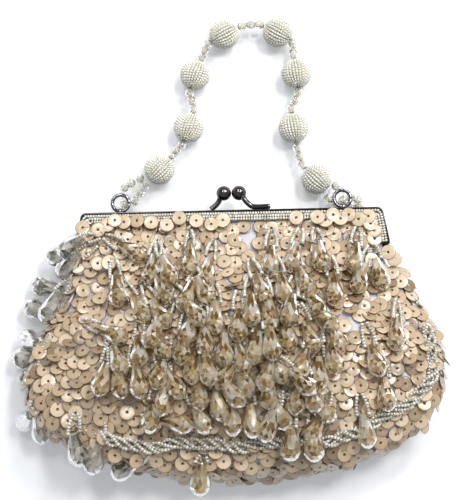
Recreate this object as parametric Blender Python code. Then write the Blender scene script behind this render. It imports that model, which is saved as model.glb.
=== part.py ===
"""Beaded evening bag with a kiss-lock frame, lying on its back.

X runs across the bag, +Y towards the handle and +Z up out of the front. The origin is on the flat
of the back panel. Lengths are metres; MM turns the millimetre sizes below into metres.
"""

import math

import bmesh
import bpy
import numpy as np
from mathutils import Matrix, Vector

MM = 0.001
GAP = 0.3 * MM                    # left between pieces that are glued, sewn or soldered together
RUN = 0.4 * MM                    # left between pieces that move past each other

# Frame: two bent channels, hinged at the ends of their arms
FRAME_WIDTH = 152 * MM            # across the top corners
FRAME_TOP = 70 * MM               # Y of the closed frame's top
MID_Z = 16 * MM                   # height of the plane where the halves part
HALF_DEPTH = 6 * MM               # one half of the frame, parting plane to rim
RIM_WALL = 0.9 * MM
FLANGE_WIDTH = 3.6 * MM
FLANGE_WALL = 0.7 * MM
FLANGE_RECESS = 0.8 * MM          # flange below the rim's edge
CORNER_RADIUS = 3 * MM
INNER_CORNER = 0.6 * MM           # least radius further in
CORNER_STEPS = 4
ARM_LENGTH = 22 * MM              # frame's top to the hinge axis
ARM_SPLAY = 2.5 * MM
ARM_STRAIGHT = 5.5 * MM           # stretch of arm beside the hinge that runs along Y
EAR_RADIUS = 2.8 * MM
EAR_WALL = 0.9 * MM
TANG_LENGTH = 6 * MM              # hinge axis to the end of the front ear's tang
RIVET_RADIUS = 1.0 * MM
RIVET_HEAD_RADIUS = 1.8 * MM
RIVET_HEAD_WALL = 0.7 * MM

# Lock: one ball on each half, passing side by side
LOCK_BALL_RADIUS = 3.7 * MM
LOCK_BALL_RISE = 9.6 * MM         # frame's top to the balls' centres
LOCK_STEM_RADIUS = 1.3 * MM
LOCK_TAB_LENGTH = 10 * MM
LOCK_STEM_SET = 2.6 * MM          # stem's root to the parting plane

# Rings, each in a lug soldered on the back half
RING_INSET = 19.5 * MM            # frame's corner to the ring's middle, along X
RING_DROP = 3 * MM                # ring's middle below the parting plane
RING_RADIUS = 4.3 * MM            # to the middle of the wire
RING_WIRE = 0.75 * MM
RING_STEPS = 24
LUG_WALL = 0.4 * MM
LUG_BORE = RING_WIRE + 0.45 * MM
LUG_LENGTH = 2.2 * MM

# Pouch: each side runs from below the hinge down to the bottom corner, as millimetres outward
# from the arm's outside and up from the hinge axis
SEAM_RIGHT = [(2, -10), (7.5, -24), (14, -37), (18, -50), (17.5, -61), (12, -71.5), (0.5, -80),
              (-14.5, -86.5), (-32.5, -92)]
EDGE_RIGHT = [(6, -10), (12, -24), (18.5, -37), (23.3, -50), (23.8, -61), (20.5, -74.5),
              (12, -86.5), (-3.5, -96), (-26.5, -104.5)]
SEAM_LEFT = [(-3, -10), (2, -24), (10, -37), (15.5, -50), (18.5, -62), (13, -72), (2, -80.5),
             (-12.5, -88), (-32.5, -93)]
EDGE_LEFT = [(1, -10), (6, -24), (14.5, -37), (20.5, -50), (24.5, -63), (21, -75), (13, -86.5),
             (-0.5, -94.5), (-26.5, -103.5)]
SEAM_HEIGHT = [4.6, 7, 9.5, 12, 14.5, 16.5, 18, 19, 20]   # front seam above the parting plane
SEAM_REST = [11.4, 10, 8.5, 7, 5.5, 4.5, 3.5, 3, 2.5]     # back seam above the resting face
BOTTOM_BULGE = 6.5 * MM           # bottom edge's middle past the line through its corners
BELLY = [(-92.5, 20), (-78, 26), (-56, 29), (-30, 25.5), (-10, 15.5), (0, 8.6), (12, 5.4)]
BACK_REST = [(-92.5, 2.5), (-86, 0), (-16, 0), (0, 4), (12, 9)]
COLUMNS = [-1, -0.96, -0.86, -0.66, -0.34, 0, 0.34, 0.66, 0.86, 0.96, 1]
PANEL_CROWN = 2.6                 # higher keeps a row flat further out
GUSSET_STEPS = 6
SKIN = 1.6 * MM                   # cloth with its sequins
LINING = 0.6 * MM
CLOTH_TRIM = 0.3 * MM             # each cloth edge drawn back from its seam
MITRE_LIMIT = 1.5                 # how much deeper a cloth goes at a fold
FRAMED_BELOW = 8 * MM             # cloth follows the frame from this far below the hinge
LINING_TRIM = 1.6 * MM            # lining's edge drawn back inside the frame
HINGE_CLEAR = 2.1 * MM            # round the front flap's sweep
MOUTH_INSET = RIM_WALL + EAR_WALL + 4 * GAP               # arm's outside to the cloth
POCKET_WIDTH = 62 * MM
POCKET_DEPTH = 34 * MM
POCKET_WALL = 0.5 * MM
POCKET_BELOW_HINGE = 30 * MM

# Bead trim
BAND_HEIGHT = 1.8 * MM
BAND_MARGIN = 0.4 * MM            # rim to the band, and the band past the flange's inner edge
BRAID_RADIUS = 2.0 * MM

# Handle: balls and crystals on one thread, which lies on the surface that the bag lies on. Each
# side's first ball is so many millimetres inward and up from its ring's middle. The next ones are a
# share of the way out from the bag's middle line to the ring's middle, and millimetres up from it.
BALL_RADIUS = 7.75 * MM
BALL_BORE = 1.3 * MM
FIRST_BALL_LEFT = (19.5, 18.2)
FIRST_BALL_RIGHT = (12.4, 11.3)
BALLS_LEFT = [(0.379, 40.1), (0.312, 68.3), (0.035, 90.1)]
BALLS_RIGHT = [(0.586, 38.6), (0.627, 67.9), (0.464, 90.5)]
THREAD_RADIUS = 0.35 * MM
THREAD_POINTS = 80
BALL_STRAIGHT = 8.5 * MM          # thread runs straight this far each side of a ball's middle
CRYSTAL_RADIUS = 2.1 * MM
CRYSTAL_NECK = 1.3 * MM           # radius of a crystal's ends
CRYSTAL_LENGTH = 3.9 * MM
CRYSTAL_BORE = THREAD_RADIUS + 0.5 * MM
SPACER_END = 0.5 * MM             # ball's end to the first crystal

# End loops: crystals on a closed loop of the thread, in order, with two bare points where it
# passes over the ring's wire and down through the ring. Millimetres inward, up and out of the
# front from the ring's middle.
START_LEFT = (13.3, 12.2, -5.1)
LOOP_LEFT = [(9.5, 13.5, -4.5), (5.1, 10.9, -3), (1.9, 8.3, -1), (1.0, 4.8, 1.9), (1.4, 1.8, 0),
             (1.6, 0.3, -3.9), (7.1, 1.6, -4.4), (9.5, 6.1, -4.7), (12.2, 9.8, -5)]
START_RIGHT = (6.2, 5.2, -5.1)
LOOP_RIGHT = [(2.6, 7.2, -3.2), (0.3, 5.1, 1.9), (-0.5, 1.8, 0), (-0.9, 0, -4.0),
              (-4.9, 1.6, -5.2), (-8.9, 0.4, -6.4), (-9.6, -2.6, -9.6), (-5.6, -3.4, -10.4),
              (-1.4, -2.2, -9.8), (2.8, -1.0, -8.6), (6.4, 1.4, -7.2)]
BARE_LEFT = (3, 4)                # places in each loop that hold no crystal
BARE_RIGHT = (1, 2)

# Fringe: clear drops, each on its own loop of seed beads
DROP_RADIUS = 5 * MM
DROP_LENGTH = 15 * MM
DROP_COLLAR = 1.9 * MM
DROP_HOLE_BELOW = 1.6 * MM        # collar's end to the cross hole
DROP_BORE = 0.6 * MM
DROP_SIDES = 10
SEED_RADIUS = 0.9 * MM
SEED_THREAD = 0.25 * MM
# Side fringe: place along the left side (8 is the bottom corner), angle up the gusset's round, then
# the cross hole and the way the drop points, as outward, along and up from the edge
SIDE_FRINGE = {
    "left_1": (0.45, 25, (5.5, 1, -6), (1, 0.1, -0.2)),
    "left_2": (1.55, 25, (4.2, 0, -4.5), (0.93, 0.1, -0.35)),
    "left_3": (2.5, 50, (2.6, 0, 2.5), (0.55, 0, -0.83)),
    "left_4": (3.8, 48, (2.9, 0, 0), (0.12, 0, -0.99)),
    "left_5": (5.1, 50, (3.4, 0, 1.5), (0.45, 0, -0.88)),
    "bottom": (8.66, 72, (-7.5, 0, 20.2), (0.9, 0, -0.43)),
}
# Front fringe: where the loop is sewn on, as a share of the way from the bag's middle line out to
# the hinge and millimetres down from the hinge, then the drop's heading, in degrees from straight
# down towards the right
FRONT_FRINGE = {
    "front_left": (-0.739, -44, -12),
    "front_middle": (-0.051, -62, 6),
    "front_right": (0.79, -38, 10),
}
LOOP_LENGTH = 12 * MM             # where it is sewn on to the drop's cross hole

# Joint places
HINGE_Y = FRAME_TOP - ARM_LENGTH
ARM_X = FRAME_WIDTH / 2 + ARM_SPLAY                       # arm's outside at the hinge
RING_X = FRAME_WIDTH / 2 - RING_INSET
RING_Z = MID_Z - RING_DROP
LUG_Y = FRAME_TOP + GAP + LUG_WALL + LUG_BORE
RING_Y = LUG_Y + RING_RADIUS
TUCK = HALF_DEPTH - FLANGE_RECESS - FLANGE_WALL - 1.5 * GAP   # cloth under the flange
CLOTH_TOP = FRAME_TOP - RIM_WALL - GAP
SIDE_ROWS = len(SEAM_HEIGHT)


def material(name, colour, roughness, metallic=0.0, transmission=0.0):
    made = bpy.data.materials.new(name)
    made.use_nodes = True
    shader = made.node_tree.nodes["Principled BSDF"]
    shader.inputs["Base Color"].default_value = (*colour, 1)
    shader.inputs["Roughness"].default_value = roughness
    shader.inputs["Metallic"].default_value = metallic
    shader.inputs["Transmission Weight"].default_value = transmission
    return made


def add(name, bm, finish, smooth=False):
    """Turn a bmesh into an object whose faces point out."""
    bmesh.ops.recalc_face_normals(bm, faces=bm.faces[:])
    mesh = bpy.data.meshes.new(name)
    bm.to_mesh(mesh)
    bm.free()
    if smooth:
        mesh.shade_smooth()
        mesh.set_sharp_from_angle(angle=math.radians(40))
    made = bpy.data.objects.new(name, mesh)
    made.data.materials.append(finish)
    bpy.context.collection.objects.link(made)
    return made


def combine(target, tool, operation):
    """Apply one Boolean to the target's mesh and take the tool away."""
    boolean = target.modifiers.new(operation, "BOOLEAN")
    boolean.operation = operation
    boolean.solver = "EXACT"
    boolean.object = tool
    bpy.context.view_layer.update()
    graph = bpy.context.evaluated_depsgraph_get()
    result = bpy.data.meshes.new_from_object(target.evaluated_get(graph))
    target.modifiers.clear()
    bm = bmesh.new()
    bm.from_mesh(result)
    bmesh.ops.triangulate(bm, faces=[f for f in bm.faces if len(f.verts) > 4])
    bm.to_mesh(result)
    bm.free()
    target.data = result
    bpy.data.objects.remove(tool)


def bridge(bm, ring_a, ring_b):
    """Quads between two rings of as many vertices."""
    for i in range(len(ring_a)):
        j = (i + 1) % len(ring_a)
        bm.faces.new((ring_a[i], ring_a[j], ring_b[j], ring_b[i]))


def rings_body(rings, closed=False):
    """Bmesh through a row of vertex rings, capped at both ends unless it closes on itself."""
    bm = bmesh.new()
    made = [[bm.verts.new(p) for p in ring] for ring in rings]
    for a, b in zip(made, made[1:]):
        bridge(bm, a, b)
    if closed:
        bridge(bm, made[-1], made[0])
    else:
        bm.faces.new(made[0])
        bm.faces.new(made[-1])
    return bm


def lathe(profile, sides, closed=False):
    """Bmesh of (along, radius) points turned about X; a closed profile makes a bored body."""
    bm = bmesh.new()
    rings = []
    for along, radius in profile:
        if radius == 0:
            rings.append([bm.verts.new((along, 0, 0))])
            continue
        turns = [math.tau * i / sides for i in range(sides)]
        rings.append([bm.verts.new((along, radius * math.cos(t), radius * math.sin(t)))
                      for t in turns])
    pairs = list(zip(rings, rings[1:]))
    if closed:
        pairs.append((rings[-1], rings[0]))
    for a, b in pairs:
        if len(a) == 1 or len(b) == 1:
            tip, ring = (a[0], b) if len(a) == 1 else (b[0], a)
            for i in range(sides):
                bm.faces.new((tip, ring[i], ring[(i + 1) % sides]))
        else:
            bridge(bm, a, b)
    return bm


def box(low, high):
    bm = bmesh.new()
    bmesh.ops.create_cube(bm, size=1)
    size = Vector(high) - Vector(low)
    middle = (Vector(high) + Vector(low)) / 2
    bmesh.ops.transform(bm, matrix=Matrix.Translation(middle) @ Matrix.Diagonal((*size, 1)),
                        verts=bm.verts[:])
    return bm


def pin_along_x(x_low, x_high, y, z, radius, sides=16):
    bm = lathe([(x_low, 0), (x_low, radius), (x_high, radius), (x_high, 0)], sides)
    bmesh.ops.translate(bm, vec=(0, y, z), verts=bm.verts[:])
    return bm


def smooth_curve(points, per_span=12, closed=False):
    """Centripetal Catmull-Rom curve through the points."""
    points = np.array(points, float)
    if closed:
        padded = np.vstack([points[-1], points, points[:2]])
    else:
        padded = np.vstack([2 * points[0] - points[1], points, 2 * points[-1] - points[-2]])
    rows = []
    for a, b, c, d in zip(padded, padded[1:], padded[2:], padded[3:]):
        before, here, after = (np.linalg.norm(q - p) ** 0.5 for p, q in ((a, b), (b, c), (c, d)))
        leave = (c - b) + here * ((b - a) / before - (c - a) / (before + here))
        arrive = (c - b) + here * ((d - c) / after - (d - b) / (here + after))
        for t in np.arange(per_span) / per_span:
            rows.append(b + leave * t + (3 * (c - b) - 2 * leave - arrive) * t * t
                        + (leave + arrive - 2 * (c - b)) * t ** 3)
    if not closed:
        rows.append(points[-1])
    return np.array(rows)


def lengths(curve):
    return np.concatenate([[0], np.cumsum(np.linalg.norm(np.diff(curve, axis=0), axis=1))])


def along(curve, distance):
    """Point and direction at a distance along a curve."""
    run = lengths(curve)
    step = run[-1] / (4 * len(curve))
    at, before, after = (np.array([np.interp(s, run, curve[:, k]) for k in range(3)])
                         for s in (distance, distance - step, distance + step))
    direction = after - before
    return at, direction / np.linalg.norm(direction)


def tube_rings(places, directions, radii, sides):
    """Rings of vertices square to a path, each turned as little as possible from the last."""
    side = Vector(directions[0]).orthogonal().normalized()
    rings = []
    for place, direction, radius in zip(places, directions, radii):
        direction = Vector(direction).normalized()
        side = (side - direction * side.dot(direction)).normalized()
        other = direction.cross(side)
        turns = [math.tau * i / sides for i in range(sides)]
        rings.append([Vector(place) + radius * (math.cos(t) * side + math.sin(t) * other)
                      for t in turns])
    return rings


# ---------------------------------------------------------------- frame

def arm_outside(y):
    """Half-width over the frame's outside at a height on its arm."""
    share = (FRAME_TOP - CORNER_RADIUS - y) / (ARM_LENGTH - CORNER_RADIUS - ARM_STRAIGHT)
    return FRAME_WIDTH / 2 + ARM_SPLAY * min(max(share, 0), 1)


def frame_path(arm_end, inset):
    """Frame's outline at an inset from its outside, from the left arm's end over to the right's."""
    radius = max(CORNER_RADIUS - inset, INNER_CORNER)
    half = [(ARM_X - inset, arm_end), (ARM_X - inset, HINGE_Y + ARM_STRAIGHT)]
    for i in range(CORNER_STEPS + 1):
        turn = math.pi / 2 * i / CORNER_STEPS
        half.append((FRAME_WIDTH / 2 - inset - radius * (1 - math.cos(turn)),
                     FRAME_TOP - inset - radius * (1 - math.sin(turn))))
    return [(-x, y) for x, y in half] + half[::-1]


def sweep_in_plan(arm_end, section):
    """Bmesh of a section of (inset, z) points carried along the frame's outline."""
    outlines = [frame_path(arm_end, inset) for inset, _ in section]
    rings = []
    for i in range(len(outlines[0])):
        rings.append([(*outline[i], z) for outline, (_, z) in zip(outlines, section)])
    return rings_body(rings)


def frame_half(name, side, arm_end, finish):
    """One channel of the frame; side is 1 for the front half and -1 for the back."""
    depths = [RUN / 2, HALF_DEPTH, HALF_DEPTH, HALF_DEPTH - FLANGE_RECESS,
              HALF_DEPTH - FLANGE_RECESS, HALF_DEPTH - FLANGE_RECESS - FLANGE_WALL,
              HALF_DEPTH - FLANGE_RECESS - FLANGE_WALL, RUN / 2]
    offsets = [0, 0, RIM_WALL, RIM_WALL, RIM_WALL + FLANGE_WIDTH, RIM_WALL + FLANGE_WIDTH,
               RIM_WALL, RIM_WALL]
    section = [(o, MID_Z + side * d) for o, d in zip(offsets, depths)]
    return add(name, sweep_in_plan(arm_end, section), finish)


def ear(frame, hand, outside, wall):
    """Add a round hinge ear to a frame half, and bore both for the rivet."""
    faces = sorted((hand * outside, hand * (outside - wall)))
    disc = add("ear", pin_along_x(*faces, HINGE_Y, MID_Z, EAR_RADIUS), frame.data.materials[0])
    combine(frame, disc, "UNION")


def bore_for_rivet(frame, hand):
    reach = sorted((hand * (ARM_X + RIM_WALL), hand * (ARM_X - RIM_WALL - 2 * EAR_WALL)))
    drill = add("drill", pin_along_x(*reach, HINGE_Y, MID_Z, RIVET_RADIUS + GAP, 12),
                frame.data.materials[0])
    combine(frame, drill, "DIFFERENCE")


def frame_halves(finish):
    back = frame_half("frame_back_half", -1, HINGE_Y, finish)
    front = frame_half("frame_front_half", 1, HINGE_Y + EAR_RADIUS + RUN, finish)
    ear_outside = ARM_X - RIM_WALL - GAP
    for hand in (-1, 1):
        ear(back, hand, ARM_X, RIM_WALL)
        bore_for_rivet(back, hand)
        tang_faces = sorted((hand * ear_outside, hand * (ear_outside - EAR_WALL)))
        tang = add("tang", box((tang_faces[0], HINGE_Y, MID_Z + RUN / 2),
                               (tang_faces[1], HINGE_Y + TANG_LENGTH, MID_Z + EAR_RADIUS)), finish)
        pad_faces = sorted((hand * (ARM_X - RIM_WALL / 2), hand * (ear_outside - EAR_WALL / 2)))
        pad = add("pad", box((pad_faces[0], HINGE_Y + EAR_RADIUS + 1.5 * RUN, MID_Z + RUN),
                             (pad_faces[1], HINGE_Y + ARM_STRAIGHT, MID_Z + EAR_RADIUS - GAP)),
                  finish)
        combine(tang, pad, "UNION")
        combine(front, tang, "UNION")
        ear(front, hand, ear_outside, EAR_WALL)
        bore_for_rivet(front, hand)
    return front, back


def rivet(name, hand, finish):
    outer = ARM_X + GAP
    inner = ARM_X - RIM_WALL - EAR_WALL - 2 * GAP
    profile = [(inner - RIVET_HEAD_WALL, 0), (inner - RIVET_HEAD_WALL, RIVET_HEAD_RADIUS),
               (inner, RIVET_HEAD_RADIUS), (inner, RIVET_RADIUS), (outer, RIVET_RADIUS),
               (outer, RIVET_HEAD_RADIUS), (outer + RIVET_HEAD_WALL / 2, RIVET_HEAD_RADIUS),
               (outer + RIVET_HEAD_WALL, RIVET_HEAD_RADIUS / 2), (outer + RIVET_HEAD_WALL, 0)]
    made = add(name, lathe([(hand * x, r) for x, r in profile], 16), finish, smooth=True)
    made.location = (0, HINGE_Y, MID_Z)
    return made


# ---------------------------------------------------------------- lock, lugs and rings

def lock_ball(name, x, finish):
    bm = bmesh.new()
    bmesh.ops.create_uvsphere(bm, u_segments=16, v_segments=10, radius=LOCK_BALL_RADIUS)
    made = add(name, bm, finish, smooth=True)
    made.location = (x, FRAME_TOP + LOCK_BALL_RISE, MID_Z)
    return made


def lock_arm(name, side, ball, finish):
    """Stem from a foot on the frame's top to a ball; the front one has a tab along the frame."""
    foot_y = FRAME_TOP + LOCK_STEM_RADIUS + RUN + GAP
    set_z = MID_Z + side * LOCK_STEM_SET
    ball_x, ball_y, _ = ball.location
    root_x = ball_x + side * LOCK_BALL_RADIUS * 1.5
    route = [(root_x + side * LOCK_TAB_LENGTH, foot_y, set_z)] if side > 0 else []
    route += [(root_x + side * LOCK_STEM_RADIUS, foot_y, set_z),
              (root_x - side * LOCK_STEM_RADIUS / 2, foot_y + LOCK_STEM_RADIUS, set_z),
              (ball_x + side * LOCK_BALL_RADIUS * 0.7, ball_y - LOCK_BALL_RADIUS, set_z),
              (ball_x + side * LOCK_STEM_RADIUS, ball_y, MID_Z + side * LOCK_STEM_RADIUS)]
    curve = smooth_curve(route, per_span=4)
    ways = np.gradient(curve, axis=0)
    rings = tube_rings(curve, ways, [LOCK_STEM_RADIUS] * len(curve), 8)
    stem = add(name, rings_body(rings), finish, smooth=True)
    bm = bmesh.new()
    bmesh.ops.create_uvsphere(bm, u_segments=16, v_segments=10, radius=LOCK_BALL_RADIUS + GAP)
    socket = add("socket", bm, finish)
    socket.location = ball.location
    combine(stem, socket, "DIFFERENCE")
    return stem


def lug(name, x, finish):
    half = LUG_LENGTH / 2
    bore = LUG_BORE
    outside = LUG_BORE + LUG_WALL
    profile = [(-half, bore), (half, bore), (half, outside), (-half, outside)]
    made = add(name, lathe(profile, 14, closed=True), finish, smooth=True)
    made.location = (x, LUG_Y, RING_Z)
    return made


def ring(name, x, finish):
    turns = [math.tau * i / RING_STEPS for i in range(RING_STEPS)]
    bm = rings_body(tube_rings(
        [(RING_RADIUS * math.cos(t), RING_RADIUS * math.sin(t), 0) for t in turns],
        [(-math.sin(t), math.cos(t), 0) for t in turns], [RING_WIRE] * RING_STEPS, 8),
        closed=True)
    bmesh.ops.translate(bm, vec=(0, RING_RADIUS, 0), verts=bm.verts[:])
    made = add(name, bm, finish, smooth=True)
    made.location = (x, LUG_Y, RING_Z)
    return made


# ---------------------------------------------------------------- pouch

def side_point(outline, hand, k):
    """Plan point of a side list at row k, in metres."""
    outward, up = outline[k]
    return Vector((hand * (ARM_X + outward * MM), HINGE_Y + up * MM))


def side_lists(hand):
    return (SEAM_LEFT, EDGE_LEFT) if hand < 0 else (SEAM_RIGHT, EDGE_RIGHT)


def level(table, y):
    """Read a (height above the hinge, value) table at y, ending at the cloth under the frame."""
    return np.interp((y - HINGE_Y) / MM, [p[0] for p in table], [p[1] for p in table]) * MM


def tuck_share(x, y):
    """0 where the cloth lies under the flange, 1 clear of it."""
    inset = min(arm_outside(y) - abs(x), FRAME_TOP - y) - RIM_WALL - FLANGE_WIDTH - RUN
    share = min(max(inset / (2.2 * FLANGE_WIDTH), 0), 1)
    return share * share * (3 - 2 * share)


def front_z(x, y, u, edge_height):
    if y > HINGE_Y - FRAMED_BELOW:
        return MID_Z + TUCK + (level(BELLY, y) - TUCK) * tuck_share(x, y)
    crown = 1 - abs(u) ** PANEL_CROWN
    return MID_Z + edge_height + (level(BELLY, y) - edge_height) * crown


def back_z(x, y, u, edge_rest):
    if y > HINGE_Y - FRAMED_BELOW:
        under = MID_Z - TUCK
        return under + (level(BACK_REST, y) - under) * tuck_share(x, y)
    crown = 1 - abs(u) ** (2 * PANEL_CROWN)
    return max(edge_rest + (level(BACK_REST, y) - edge_rest) * crown, 0)


def panel_rows():
    """Left and right end, front seam height and back seam rest of each row, bottom to top."""
    rows = []
    for k in reversed(range(SIDE_ROWS)):
        rows.append((side_point(SEAM_LEFT, -1, k), side_point(SEAM_RIGHT, 1, k),
                     SEAM_HEIGHT[k] * MM, SEAM_REST[k] * MM))
    mouth = arm_outside(HINGE_Y) - MOUTH_INSET
    left, right = rows[-1][0], rows[-1][1]
    for share in (0.5, 1):
        y = left.y + (HINGE_Y - left.y) * share
        rows.append((Vector((left.x + (-mouth - left.x) * share, y)),
                     Vector((right.x + (mouth - right.x) * share, y)), TUCK, MID_Z - TUCK))
    tuck_y = FRAME_TOP - RIM_WALL - FLANGE_WIDTH - RUN
    heights = [HINGE_Y + (tuck_y - HINGE_Y) * share for share in (0.35, 0.7, 1)] + [CLOTH_TOP]
    for y in heights:
        x = arm_outside(y) - MOUTH_INSET
        rows.append((Vector((-x, y)), Vector((x, y)), TUCK, MID_Z - TUCK))
    return rows


def envelope():
    """Quads over the pouch's outside, each tagged with the piece of cloth that it belongs to."""
    bm = bmesh.new()
    tag = bm.faces.layers.string.new("piece")
    rows = panel_rows()
    hinge_row = SIDE_ROWS + 1

    def quads(grid, piece_of_row):
        for j in range(len(grid) - 1):
            for i in range(len(grid[j]) - 1):
                face = bm.faces.new((grid[j][i], grid[j][i + 1], grid[j + 1][i + 1],
                                     grid[j + 1][i]))
                face[tag] = piece_of_row(j).encode()

    def front_piece(row):
        if row >= hinge_row:
            return "front_flap"
        return "front_panel" if row < SIDE_ROWS - 1 else "front_panel_top"

    for height, piece_of_row in ((front_z, front_piece), (back_z, lambda row: "back_panel")):
        grid = []
        for left, right, seam_height, seam_rest in rows:
            seam = seam_height if height is front_z else seam_rest
            line = []
            for u in COLUMNS:
                plan = left.lerp(right, (u + 1) / 2)
                line.append(bm.verts.new((*plan, height(plan.x, plan.y, u, seam))))
            grid.append(line)
        quads(grid, piece_of_row)

    band = [[bm.verts.new(gusset_point(hand, t, angle)) for angle in gusset_angles()]
            for hand, t in gusset_stations()]
    quads(band, lambda row: "gusset")
    bmesh.ops.remove_doubles(bm, verts=bm.verts[:], dist=0.02 * MM)
    bmesh.ops.recalc_face_normals(bm, faces=bm.faces[:])
    bmesh.ops.triangulate(bm, faces=bm.faces[:])
    bm.normal_update()
    return bm, tag


def gusset_stations():
    """Side and place of each section of the gusset, from the left side round to the right."""
    corner = SIDE_ROWS - 1
    stations = [(-1, t) for t in range(corner)]
    stations += [(-1 if u <= 0 else 1, corner + 1 - abs(u)) for u in COLUMNS]
    return stations + [(1, t) for t in reversed(range(corner))]


def gusset_angles():
    return [90 - 180 * i / GUSSET_STEPS for i in range(GUSSET_STEPS + 1)]


def gusset_line(hand, t):
    """Seam and edge in plan, front seam height and back seam rest, at a place along the gusset."""
    corner = SIDE_ROWS - 1
    if t <= corner:
        k = min(int(t), corner - 1)
        share = t - k
        seam, edge = (side_point(o, hand, k).lerp(side_point(o, hand, k + 1), share)
                      for o in side_lists(hand))
        height, rest = (v[k] + (v[k + 1] - v[k]) * share for v in (SEAM_HEIGHT, SEAM_REST))
        return seam, edge, height * MM, rest * MM
    u = hand * (corner + 1 - t)
    seam = side_point(SEAM_LEFT, -1, corner).lerp(side_point(SEAM_RIGHT, 1, corner), (u + 1) / 2)
    edge = side_point(EDGE_LEFT, -1, corner).lerp(side_point(EDGE_RIGHT, 1, corner), (u + 1) / 2)
    edge.y -= BOTTOM_BULGE * (1 - u * u)
    return seam, edge, SEAM_HEIGHT[corner] * MM, level(BACK_REST, seam.y)


def gusset_point(hand, t, angle):
    """Point of the gusset's outside: 90 at the front seam, 0 at the edge, -90 at the back."""
    seam, edge, height, rest = gusset_line(hand, t)
    turn = math.radians(angle)
    plan = seam.lerp(edge, math.cos(turn) ** 0.9 if abs(angle) < 90 else 0)
    if angle >= 0:
        corner = SIDE_ROWS - 1
        top = front_z(seam.x, seam.y, 1, height) if t <= corner else MID_Z + height
        return (*plan, MID_Z + (top - MID_Z) * math.sin(turn) ** 0.9)
    low = MID_Z - back_z(seam.x, seam.y, 1, rest)
    return (*plan, MID_Z - low * math.sin(-turn) ** 0.9)


def cloth(name, source, tag, pieces, depth, thickness, trim, finish):
    """Closed sheet under the tagged faces, its edges drawn back by the trim."""
    faces = [f for f in source.faces if f[tag].decode() in pieces]
    chosen = set(faces)
    places = {}
    for vert in {v for f in faces for v in f.verts}:
        at = vert.co.copy()
        rim = [e for e in vert.link_edges if len(chosen.intersection(e.link_faces)) == 1]
        if rim:
            near = [f.calc_center_median() for f in vert.link_faces if f in chosen]
            inward = sum(near, Vector()) / len(near) - at
            across = [(e.other_vert(vert).co - at).normalized() for e in rim]
            span = across[0] - across[-1]
            if len(rim) == 2 and span.length > 1:
                inward -= span * inward.dot(span) / span.length_squared
            at += inward.normalized() * trim
        inside = -vert.normal * min(vert.calc_shell_factor(), MITRE_LIMIT)
        places[vert] = (at + inside * depth, at + inside * (depth + thickness))
    bm = bmesh.new()
    outer = {v: bm.verts.new(p[0]) for v, p in places.items()}
    inner = {v: bm.verts.new(p[1]) for v, p in places.items()}
    for face in faces:
        bm.faces.new([outer[v] for v in face.verts])
        bm.faces.new([inner[v] for v in reversed(face.verts)])
    for edge in {e for f in faces for e in f.edges}:
        if len(chosen.intersection(edge.link_faces)) == 1:
            a, b = edge.verts
            bm.faces.new((outer[a], outer[b], inner[b], inner[a]))
    return add(name, bm, finish, smooth=True)


def clear_hinge(piece, finish):
    """Cut away what the front flap's lower edge would sweep through."""
    radius = level(BELLY, HINGE_Y) + HINGE_CLEAR
    steps = 16
    reach = ARM_X + EDGE_RIGHT[0][0] * MM + radius
    bm = bmesh.new()
    section = [(HINGE_Y + radius * math.cos(math.pi * i / steps),
                MID_Z + radius * math.sin(math.pi * i / steps)) for i in range(steps + 1)]
    ends = [[bm.verts.new((x, y, z)) for y, z in section] for x in (-reach, reach)]
    bridge(bm, *ends)
    for end in ends:
        bm.faces.new(end)
    combine(piece, add("hinge_cutter", bm, finish), "DIFFERENCE")


def pouch(sequin, satin):
    source, tag = envelope()
    pieces = {}
    for name in ("front_flap", "front_panel", "gusset", "back_panel"):
        pieces[name] = cloth(name, source, tag, {name, f"{name}_top"}, 0, SKIN, CLOTH_TRIM,
                             sequin)
    lining_depth = SKIN + 2 * GAP
    pieces["lining_front_flap"] = cloth("lining_front_flap", source, tag, {"front_flap"},
                                        lining_depth, LINING, LINING_TRIM, satin)
    pieces["lining_body"] = cloth("lining_body", source, tag,
                                  {"front_panel", "gusset", "back_panel"}, lining_depth, LINING,
                                  LINING_TRIM, satin)
    source.free()
    clear_hinge(pieces["front_panel"], sequin)
    floor = lining_depth + LINING + 2 * GAP
    top = HINGE_Y - POCKET_BELOW_HINGE
    pieces["slip_pocket"] = add("slip_pocket", box(
        (-POCKET_WIDTH / 2, top - POCKET_DEPTH, floor),
        (POCKET_WIDTH / 2, top, floor + POCKET_WALL)), satin)
    return pieces


def bead_band(name, side, finish):
    """Rows of seed beads sewn over the flange, from arm to arm."""
    low = HALF_DEPTH - FLANGE_RECESS + GAP
    near = RIM_WALL + BAND_MARGIN
    far = RIM_WALL + FLANGE_WIDTH + BAND_MARGIN
    section = [(near, MID_Z + side * low), (near, MID_Z + side * (low + BAND_HEIGHT)),
               (far, MID_Z + side * (low + BAND_HEIGHT)), (far, MID_Z + side * low)]
    return add(name, sweep_in_plan(HINGE_Y + EAR_RADIUS + RUN, section), finish)


def braid(name, finish):
    """Twisted seed-bead cord over the seam of the front panel and the gusset."""
    curve = []
    for hand, t in gusset_stations():
        if t < 2:
            continue
        seam = Vector(gusset_point(hand, t, 90))
        over = Vector(gusset_point(hand, t, 60))
        out = (over - seam).normalized()
        lift = BRAID_RADIUS + GAP
        curve.append(seam + Vector((out.x, out.y, 0)) * lift * 0.35 + Vector((0, 0, lift * 1.15)))
    curve = np.array(curve)
    rings = tube_rings(curve, np.gradient(curve, axis=0), [BRAID_RADIUS] * len(curve), 8)
    return add(name, rings_body(rings), finish, smooth=True)


# ---------------------------------------------------------------- handle

def from_ring(hand, place):
    """World point of a place given inward, up and out from a ring's middle."""
    inward, up, out = (c * MM for c in place)
    return np.array((hand * (RING_X - inward), RING_Y + up, RING_Z + out))


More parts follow.
